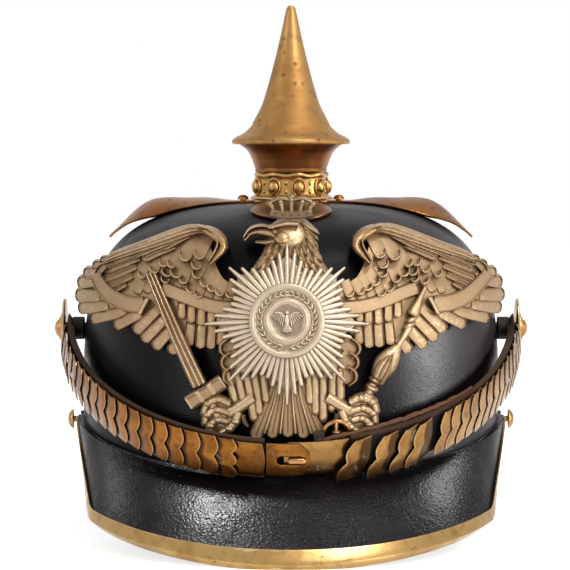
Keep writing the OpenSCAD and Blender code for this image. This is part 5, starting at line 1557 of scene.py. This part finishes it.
def strap_leather_piece(name, side, start):
    """The leather under the scales: a bar that narrows to a round lug at the boss."""
    piece = block(name, 12, 110)
    lug = flow([0, 4, 9, 13, 15.4], [LEATHER_HALF_W, 7.2, 6.6, 5.4, 2.6])

    def rule(x, v, up):
        s = start + (STRAP_L + LUG_TO - start) * v
        half = np.where(s > STRAP_L - LUG_FROM, lug(s - STRAP_L + LUG_FROM), LEATHER_HALF_W)
        inner = -0.6 - 0.8 * np.clip((s - STRAP_L + 60) / 30, 0, 1)
        thick = np.where(up > 0.5, STRAP_T - 0.25 * np.abs(x) ** 6,
                         inner * np.clip((STRAP_L - 6 - s) / 4, 0, 1))
        slim = np.where(up > 0.5, 1, 1 - 0.4 * np.clip((s - STRAP_L + 40) / 25, 0, 1))
        return on_strap(side * s, thick, x * half * slim)

    write_attribute(piece, "rim", lambda x, v, up: np.abs(x) ** 4)
    return close_up(reshape(piece, rule))


for word, side, start in (("left", -1, 11), ("right", 1, 24.4)):
    piece = strap_leather_piece(word + "_strap", side, start)
    finish_piece(piece, word + "_chinscales", "strap_leather", word + "_strap_leather")

# %% [markdown]
# ## Chin-scales: the scales
#
# A scale is a strip of thin brass, bowed across the strap. Its hidden end lies low and its free edge,
# cut in two round lobes, stands over the next scale. It is modelled once, flat, as a fine grid of
# real thickness. Every copy is then bent on the strap at its own place.

# %% One scale
SCALE_L, SCALE_W, SCALE_T, SCALE_COUNT = 11.8, 17.4, 0.6, 18
scale_block = block("scale_pattern", 30, 16)


def near_free_edge(x, v, up):
    """1 at the free edge and a little less along the two sides."""
    return np.maximum(v, np.clip((np.abs(x) - 0.9) / 0.1, 0, 1) * 0.93)


write_attribute(scale_block, "rim", near_free_edge)


def scale_at(side, s, lobes=2, order=0, slant=0.0, hang=0.0):
    one = copy_of(scale_block)
    rng = np.random.default_rng(100 * (side + 2) + order)
    twist, lift, shift = rng.normal(0, 0.012), rng.normal(0, 0.06), rng.normal(0, 0.12)

    def rule(x, v, up):
        edge = 1.9 * (1 - np.abs(np.sin((x + 1) * math.pi / 2 * lobes)))
        at = s - v * (SCALE_L - edge) + twist * x * 8 + slant * x * (0.3 + 0.7 * v)
        crown = 1.1 * (1 - x * x) - 0.5
        rise = 1.5 * v + 0.25 * np.sin(v * math.pi)
        half = SCALE_W / 2 * (0.9 + 0.1 * v)
        off = STRAP_T + 0.3 + rise + crown + 0.5 + SCALE_T * up * (1 - 0.35 * v ** 8) + lift * v
        return on_strap(side * at, off, x * half + shift - hang * v)

    return reshape(one, rule)


# On the right, the last four scales have slid out of their even places
END_PLATE_R, LEFT_FIRST, RIGHT_FIRST = 13, 33.2, 76
SLID_PLACES = [61.5, 54, 44, 31.6]
EVEN_COUNT = SCALE_COUNT - len(SLID_PLACES)
scale_last = STRAP_L - END_PLATE_R - 0.6
left_places = [scale_last + (LEFT_FIRST - scale_last) * i / (SCALE_COUNT - 1) for i in range(SCALE_COUNT)]
right_places = [scale_last + (RIGHT_FIRST - scale_last) * i / (EVEN_COUNT - 1) for i in range(EVEN_COUNT)]
right_places += SLID_PLACES
left_scales = [scale_at(-1, s, 3 if i == SCALE_COUNT - 1 else 2, i) for i, s in enumerate(left_places)]
right_scales = []
for i, s in enumerate(right_places):
    slid = i >= EVEN_COUNT
    right_scales.append(scale_at(1, s, 2, i, slant=3.8 if slid else 3, hang=1.6 if slid else 0.4))
drop(scale_block)
for side, pieces, slot in (("left", left_scales, "orange_scales"), ("right", right_scales, "olive_scales")):
    joined = close_up(join(pieces, side + "_scales_fine"))
    finish_piece(joined, side + "_chinscales", slot, side + "_scales", angle=50)

# %% [markdown]
# ## Chin-scales: the plates at the front
#
# The left half ends in a plain plate and a tongue with a long slot. The right half ends in a hook
# plate, whose stud stands through the slot. The slot is cut in the grid: the faces inside it are
# deleted, and the corners round the hole are moved on to a round-ended outline.

# %% Plain plates
PLATE_HALF_W, PLATE_T = 7.2, 0.8


def to_edge(x, v):
    """0 in the middle of a plate and 1 on its edges."""
    return np.maximum(np.abs(x), np.abs(2 * v - 1))


def plate(name, s0, s1, off, bow0, bow1):
    """A plain plate from s0 to s1; a bow curves an end out or in across its width."""
    piece = block(name, 24, 40)
    write_attribute(piece, "rim", lambda x, v, up: 0.51 + 0.49 * to_edge(x, v) ** 8)

    def rule(x, v, up):
        bow = (bow0 * (1 - v) + bow1 * v) * x * x
        s = s0 + (s1 - s0) * v + bow
        thick = PLATE_T * up * (1 - 0.3 * to_edge(x, v) ** 10)
        return on_strap(s, off - 0.5 * x * x + thick, x * PLATE_HALF_W)

    return close_up(reshape(piece, rule))


front_plate = plate("left_front", -27, -10.6, 2.6, 0, -1.2)
finish_piece(front_plate, "left_chinscales", "orange_scales", "left_front_plate")
hook_plate = plate("right_hook", -3, 23.6, 0.6, 1.5, 0)
finish_piece(hook_plate, "right_chinscales", "olive_scales", "right_hook_plate")

# %% Slotted tongue
TONGUE_FROM, TONGUE_TO, TONGUE_OFF = -10, 7.6, 1.9
SLOT_X, SLOT_L, SLOT_W = -0.6, 10.6, 3.6
clear_selection()
bpy.ops.mesh.primitive_grid_add(x_subdivisions=48, y_subdivisions=28, size=2)
tongue = named("left_tongue")
tongue_mid, tongue_half = (TONGUE_FROM + TONGUE_TO) / 2, (TONGUE_TO - TONGUE_FROM) / 2
reshape(tongue, lambda x, y, z: (tongue_mid + tongue_half * x, y * PLATE_HALF_W, z))


def slot_distance(x, y):
    """Distance from the slot's outline; negative inside the slot."""
    past = np.maximum(np.abs(x - SLOT_X) - (SLOT_L - SLOT_W) / 2, 0)
    return np.hypot(past, y) - SLOT_W / 2


with editing(tongue, "FACE", lambda at: slot_distance(at.x, at.y) < 0.1):
    bpy.ops.mesh.delete(type="FACE")


def round_slot(x, y, z):
    """Corners close to the slot move on to its outline."""
    gap = slot_distance(x, y)
    past = np.sign(x - SLOT_X) * np.maximum(np.abs(x - SLOT_X) - (SLOT_L - SLOT_W) / 2, 0)
    r = np.maximum(np.hypot(past, y), 0.01)
    near = np.exp(-(gap / 0.5) ** 2) * gap
    return x - past / r * near, y - y / r * near, z


reshape(tongue, round_slot)
with editing(tongue):
    bpy.ops.mesh.extrude_region_move(TRANSFORM_OT_translate={"value": (0, 0, PLATE_T)})
write_attribute(tongue, "rim", lambda x, y, z: 0.51 + 0.49 * np.maximum(
    np.exp(-np.maximum(slot_distance(x, y), 0) / 0.5), (np.abs(y) / PLATE_HALF_W) ** 8))


def on_tongue(x, y, z):
    v = (x - TONGUE_FROM) / (TONGUE_TO - TONGUE_FROM)
    t = y / PLATE_HALF_W
    bow = -4.5 * v ** 3 * t * t
    return on_strap(x + bow, TONGUE_OFF + z - 0.5 * t * t, y)


reshape(tongue, on_tongue)
close_up(tongue)
bevel_edges(tongue, 0.16, 2, 60)
finish_piece(tongue, "left_chinscales", "orange_scales", "left_slotted_plate")

# %% Hook stud
stud_head = STRAP_REACH + 0.6 + PLATE_T + 0.5 + PLATE_T + 0.4
clear_selection()
bpy.ops.mesh.primitive_uv_sphere_add(segments=40, ring_count=20, radius=1.5)
head = named("stud_head")
reshape(head, lambda x, y, z: (x + np.where(x > 0, 4.6, 0), y,
                               np.where(z > 0, np.abs(z) ** 0.7 * 1.15, 0.1 * z)))
neck_bit = turned("stud_neck", [[0, -1.9], [1.2, -1.9], [1.2, 0.3], [0, 0.3]], around=32)
reshape(neck_bit, lambda x, y, z: (x + 1.6, y, z))
stud = join([head, neck_bit], "hook_stud_fine")
reshape(stud, lambda x, y, z: in_strap_frame(x, -z - stud_head, y))
finish_piece(close_up(stud), "right_chinscales", "buckle_brass", "hook_stud")

# %% [markdown]
# ## Loose strap, keeper and buckle
#
# Behind the right half hangs a narrow leather strap with a ring buckle. Its edges are worn to
# red-brown suede and run a little wavy, because dry leather curls.

# %% Loose strap
LOOSE_FROM, LOOSE_L, LOOSE_HALF_W, LOOSE_RISE, LOOSE_IN = 4, 94, 5, 1.5, 2.95
loose = block("loose_strap_fine", 10, 150)
write_attribute(loose, "rim", lambda x, v, up: np.maximum(np.abs(x) ** 3, np.where(up < 0.5, 0.9, 0)))


def on_loose(x, v, up):
    s = LOOSE_FROM + LOOSE_L * v
    uneven = 1 + 0.03 * np.sin(v * 71) + 0.02 * np.sin(v * 133 + 1)
    half = LOOSE_HALF_W * np.minimum(0.35 + 5 * v, 1) * uneven
    rise = LOOSE_RISE + 3 * np.sin(v * math.pi) + 0.15 * np.sin(v * 47)
    curl = 0.25 * np.abs(x) ** 3
    off = -LOOSE_IN + 1.8 * up * (1 - 0.25 * np.abs(x) ** 6) + curl * (up - 0.5)
    return on_strap(s, off, rise + x * half)


reshape(loose, on_loose)
finish_piece(close_up(loose), "right_chinscales", "loose_leather", "loose_strap")

# %% Keeper
keeper = smooth_copy("strap_keeper", "strap_keeper_fine", levels=3)
write_attribute(keeper, "rim", lambda x, y, z: 0.6)
finish_piece(keeper, "right_chinscales", "loose_leather", "strap_keeper", unit=1)

# %% Ring buckle and prong
BUCKLE_S = 19
buckle_q = float(np.interp(BUCKLE_S, arc_run, arc_angles))
buckle_turn = 0.9 * buckle_q
buckle_x = (STRAP_HALF_W - LOOSE_IN) * math.sin(buckle_q)
buckle_y = -(STRAP_REACH - LOOSE_IN) * math.cos(buckle_q) + 2.4


def on_buckle(x, y, z):
    """From the buckle's own frame to the helmet's."""
    c, s = math.cos(buckle_turn), math.sin(buckle_turn)
    return in_strap_frame(x * c - y * s + buckle_x, x * s + y * c + buckle_y, z + 7.5)


clear_selection()
bpy.ops.mesh.primitive_torus_add(major_radius=5.15, minor_radius=0.85, major_segments=72, minor_segments=18)
ring = named("buckle_ring")
reshape(ring, lambda x, y, z: (x, -z * 0.95, y))
bar = turned("buckle_bar", [[0, -5], [0.9, -5], [0.9, 5], [0, 5]], around=32)
buckle = join([ring, bar], "buckle_frame_fine")
reshape(buckle, on_buckle)
finish_piece(close_up(buckle), "right_chinscales", "buckle_brass", "buckle_frame")

loop = turned("prong_loop", [[0.95, -1.1], [1.75, -1.1], [1.9, -0.95], [1.9, 0.95], [1.75, 1.1],
                             [0.95, 1.1], [0.95, -1.1]], around=40)
tongue_bar = block("prong_bar", 8, 16)
reshape(tongue_bar, lambda x, v, up: (4 * v, 1 + 0.9 * up, x * (0.8 - 0.3 * v)))
prong = join([loop, tongue_bar], "buckle_prong_fine")
reshape(prong, on_buckle)
finish_piece(close_up(prong), "buckle_prong", "buckle_brass", "buckle_prong")

# %% [markdown]
# ## Bosses
#
# Each half of the strap turns on a post through the skull. A domed boss with fine rings covers the
# post's end, over a round end plate with a raised rim.

# %% Bosses, end plates and posts
boss = turned("boss", [[2.55, 0], [6.6, 0], [6.65, 0.35], [6.4, 0.8], [5.8, 0.95], [5, 1], [4.85, 1.2],
                       [4.75, 1.6], [4.3, 1.75], [3.8, 1.8], [3.65, 2.1], [3.5, 2.5], [3.1, 2.8],
                       [2.5, 3.1], [1.8, 3.4], [1, 3.6], [0, 3.7], [0, 0.6], [2.55, 0.5], [2.55, 0]],
              around=96)
end_plate = turned("end_plate", [[2.6, 0], [12.6, 0], [13, 0.25], [13, 0.75], [12.7, 1], [11.9, 1],
                                 [11.5, 0.8], [10.4, 0.72], [9.9, 0.9], [9.3, 1], [2.6, 1], [2.6, 0]],
                   around=120)
post = turned("post", [[0, 83], [2.5, 83], [2.5, 90.8], [4.6, 90.8], [5, 91.1], [5, 95.5], [4.7, 95.9],
                       [2.5, 95.9], [2.5, 100.7], [0, 100.7]], around=48)
for piece in (boss, end_plate, post):
    with editing(piece):
        bpy.ops.mesh.delete_loose()
patterns = ((boss, "boss", 100.3, "boss_brass"), (end_plate, "end_plate", 99, "boss_brass"),
            (post, "boss_post", 0, "dark_post"))
for side, word in ((-1, "left"), (1, "right")):
    for pattern, name, start, finish in patterns:
        one = copy_of(pattern, word + "_" + name + "_fine")
        reshape(one, lambda x, y, z: (side * (z + start), -y * side, x + BOSS_Z))
        body = "helmet" if name != "end_plate" else word + "_chinscales"
        finish_piece(one, body, "boss_brass", word + "_" + name, finish=finish)
drop(boss, end_plate, post)

# %% [markdown]
# ## Liner cord and the plain parts
#
# Inside, a cord draws the tongues of the liner together. It is a torus with a number stored round
# it, from which the material draws the twist of the strands. The last nodes, such as nuts, studs
# and posts, are plain turned metal that is hidden or tiny. Their CAD meshes already have the right
# form, so they stay, each with the plain one-colour material that the model brings for its slot.

# %% Liner cord
CORD_R, CORD_THICK, CORD_Z = 22.6, 1.1, 109.3
clear_selection()
bpy.ops.mesh.primitive_torus_add(major_radius=CORD_R, minor_radius=CORD_THICK, major_segments=160,
                                 minor_segments=16)
cord = named("liner_cord_fine")


def along_twist(x, y, z):
    """Grows round the ring and across the cord, so that the strands slant."""
    return 14 * np.abs(np.arctan2(y, x)) / math.pi + 0.5 * z / CORD_THICK


write_attribute(cord, "around", along_twist)
reshape(cord, lambda x, y, z: (x, y, z + CORD_Z))
finish_piece(cord, "helmet", "liner_cord", "liner_cord")

# %% Materials of the plain parts
# The model's materials came first and have the bare names; the finishes made here have a number
# after theirs, so these names find the model's own materials.
own_materials = {material.name: material for material in bpy.data.materials}
slot_of = {part["node"]: part["material_slot"] for part in frame["record"]["subparts"]}
for name, thing in nodes.items():
    thing.data.materials.clear()
    thing.data.materials.append(own_materials[slot_of[name]])
print("plain materials set on", len(nodes), "nodes")

# %% [markdown]
# ## Studio
#
# The photograph has a plain white ground, a large soft light from the right and above, and much
# less from the left. The white ground is a world that camera, mirror and transparency rays see at
# full strength, while it lights the object far less. The floor is white in the same way and keeps
# a faint shadow.

# %% World
world = bpy.data.worlds.new("studio")
bpy.context.scene.world = world
world.use_nodes = True
sky_graph = Graph(world.node_tree)
sky = world.node_tree.nodes["Background"].inputs
sky_graph.put(sky_graph.top(sky_graph.straight_rays(), 0.4), sky["Strength"])
sky["Color"].default_value = (1, 1, 1, 1)
print("world ready")


# %% Lamps
def soft_lamp(name, place, aim, width, height, power):
    """A square or oblong lamp of soft white light."""
    light = bpy.data.lights.new(name, "AREA")
    light.shape = "RECTANGLE"
    light.size = width
    light.size_y = height
    light.energy = power
    lamp = bpy.data.objects.new(name, light)
    lamp.location = place
    lamp.rotation_euler = (Vector(aim) - Vector(place)).to_track_quat("-Z", "Y").to_euler()
    bpy.context.collection.objects.link(lamp)
    return lamp


soft_lamp("key from the right", (0.85, -1.05, 0.85), (0, 0, 0.1), 0.4, 0.5, 11)
soft_lamp("side light", (1.2, -0.3, 0.25), (0, 0, 0.1), 0.25, 0.35, 4)
soft_lamp("top light", (0.35, -0.25, 1.3), (0.02, -0.1, 0.05), 0.4, 0.3, 7)
soft_lamp("weak light from the left", (-1.1, -0.6, 0.55), (0, 0, 0.1), 0.3, 0.4, 2.5)

# %% [markdown]
# Black lacquer shows little but the lamps, so the photographer's lights for it are set apart here:
# they fall on the skull and the peaks alone, the way a flag keeps a lamp off the metal.

# %% Lamps for the lacquer
lit_skull = bpy.data.collections.new("skull in its own light")
lit_peaks = bpy.data.collections.new("peaks in their own light")
lit_skull.objects.link(bpy.data.objects["skull"])
for name in ("front_peak_fine", "rear_peak_fine"):
    lit_peaks.objects.link(bpy.data.objects[name])
lacquer_lamps = (
    ("sheen on the skull's right", (0.8, -0.1, 0.15), (0.06, -0.08, 0.07), 0.24, 26, lit_skull),
    ("sheen on the skull's left", (-0.76, -0.46, 0.12), (-0.05, -0.09, 0.07), 0.2, 2.5, lit_skull),
    ("light on the peak's middle", (-0.3, -0.06, 0.88), (-0.03, -0.125, 0.018), 0.11, 26, lit_peaks),
    ("light on the peak's right", (0.6, 0.25, 0.66), (0.06, -0.1, 0.02), 0.24, 7, lit_peaks),
    ("light on the peak's left", (-0.72, 0.34, 0.46), (-0.07, -0.093, 0.022), 0.2, 1.2, lit_peaks))
for name, place, aim, size, power, lit in lacquer_lamps:
    lamp = soft_lamp(name, place, aim, size, size, power)
    lamp.light_linking.receiver_collection = lit
print("lamps for the lacquer:", len(lacquer_lamps))

# %% Floor
clear_selection()
bpy.ops.mesh.primitive_plane_add(size=6, location=(0, 0, 0))
floor = named("floor")
floor_finish = Finish("floor")
floor_finish.surface((0.93, 0.93, 0.93), 0.9, metal=0, shine=0)
plain = floor_finish.tree.nodes["Principled BSDF"].outputs[0]
glow = floor_finish.node("ShaderNodeEmission", {"Color": (1, 1, 1, 1), "Strength": 0.72}).outputs[0]
glowing = floor_finish.node("ShaderNodeAddShader", {0: plain, 1: glow}).outputs[0]
seen_share = floor_finish.straight_rays()
mixed = floor_finish.node("ShaderNodeMixShader", {0: seen_share, 1: plain, 2: glowing}).outputs[0]
floor_finish.put(mixed, floor_finish.tree.nodes["Material Output"].inputs["Surface"])
floor.data.materials.append(floor_finish.material)
print("floor ready")

# %% [markdown]
# ## Last steps
#
# Colours are shown as they are, without a film look.

# %% Colour view without a film look
bpy.context.scene.view_settings.view_transform = "Standard"
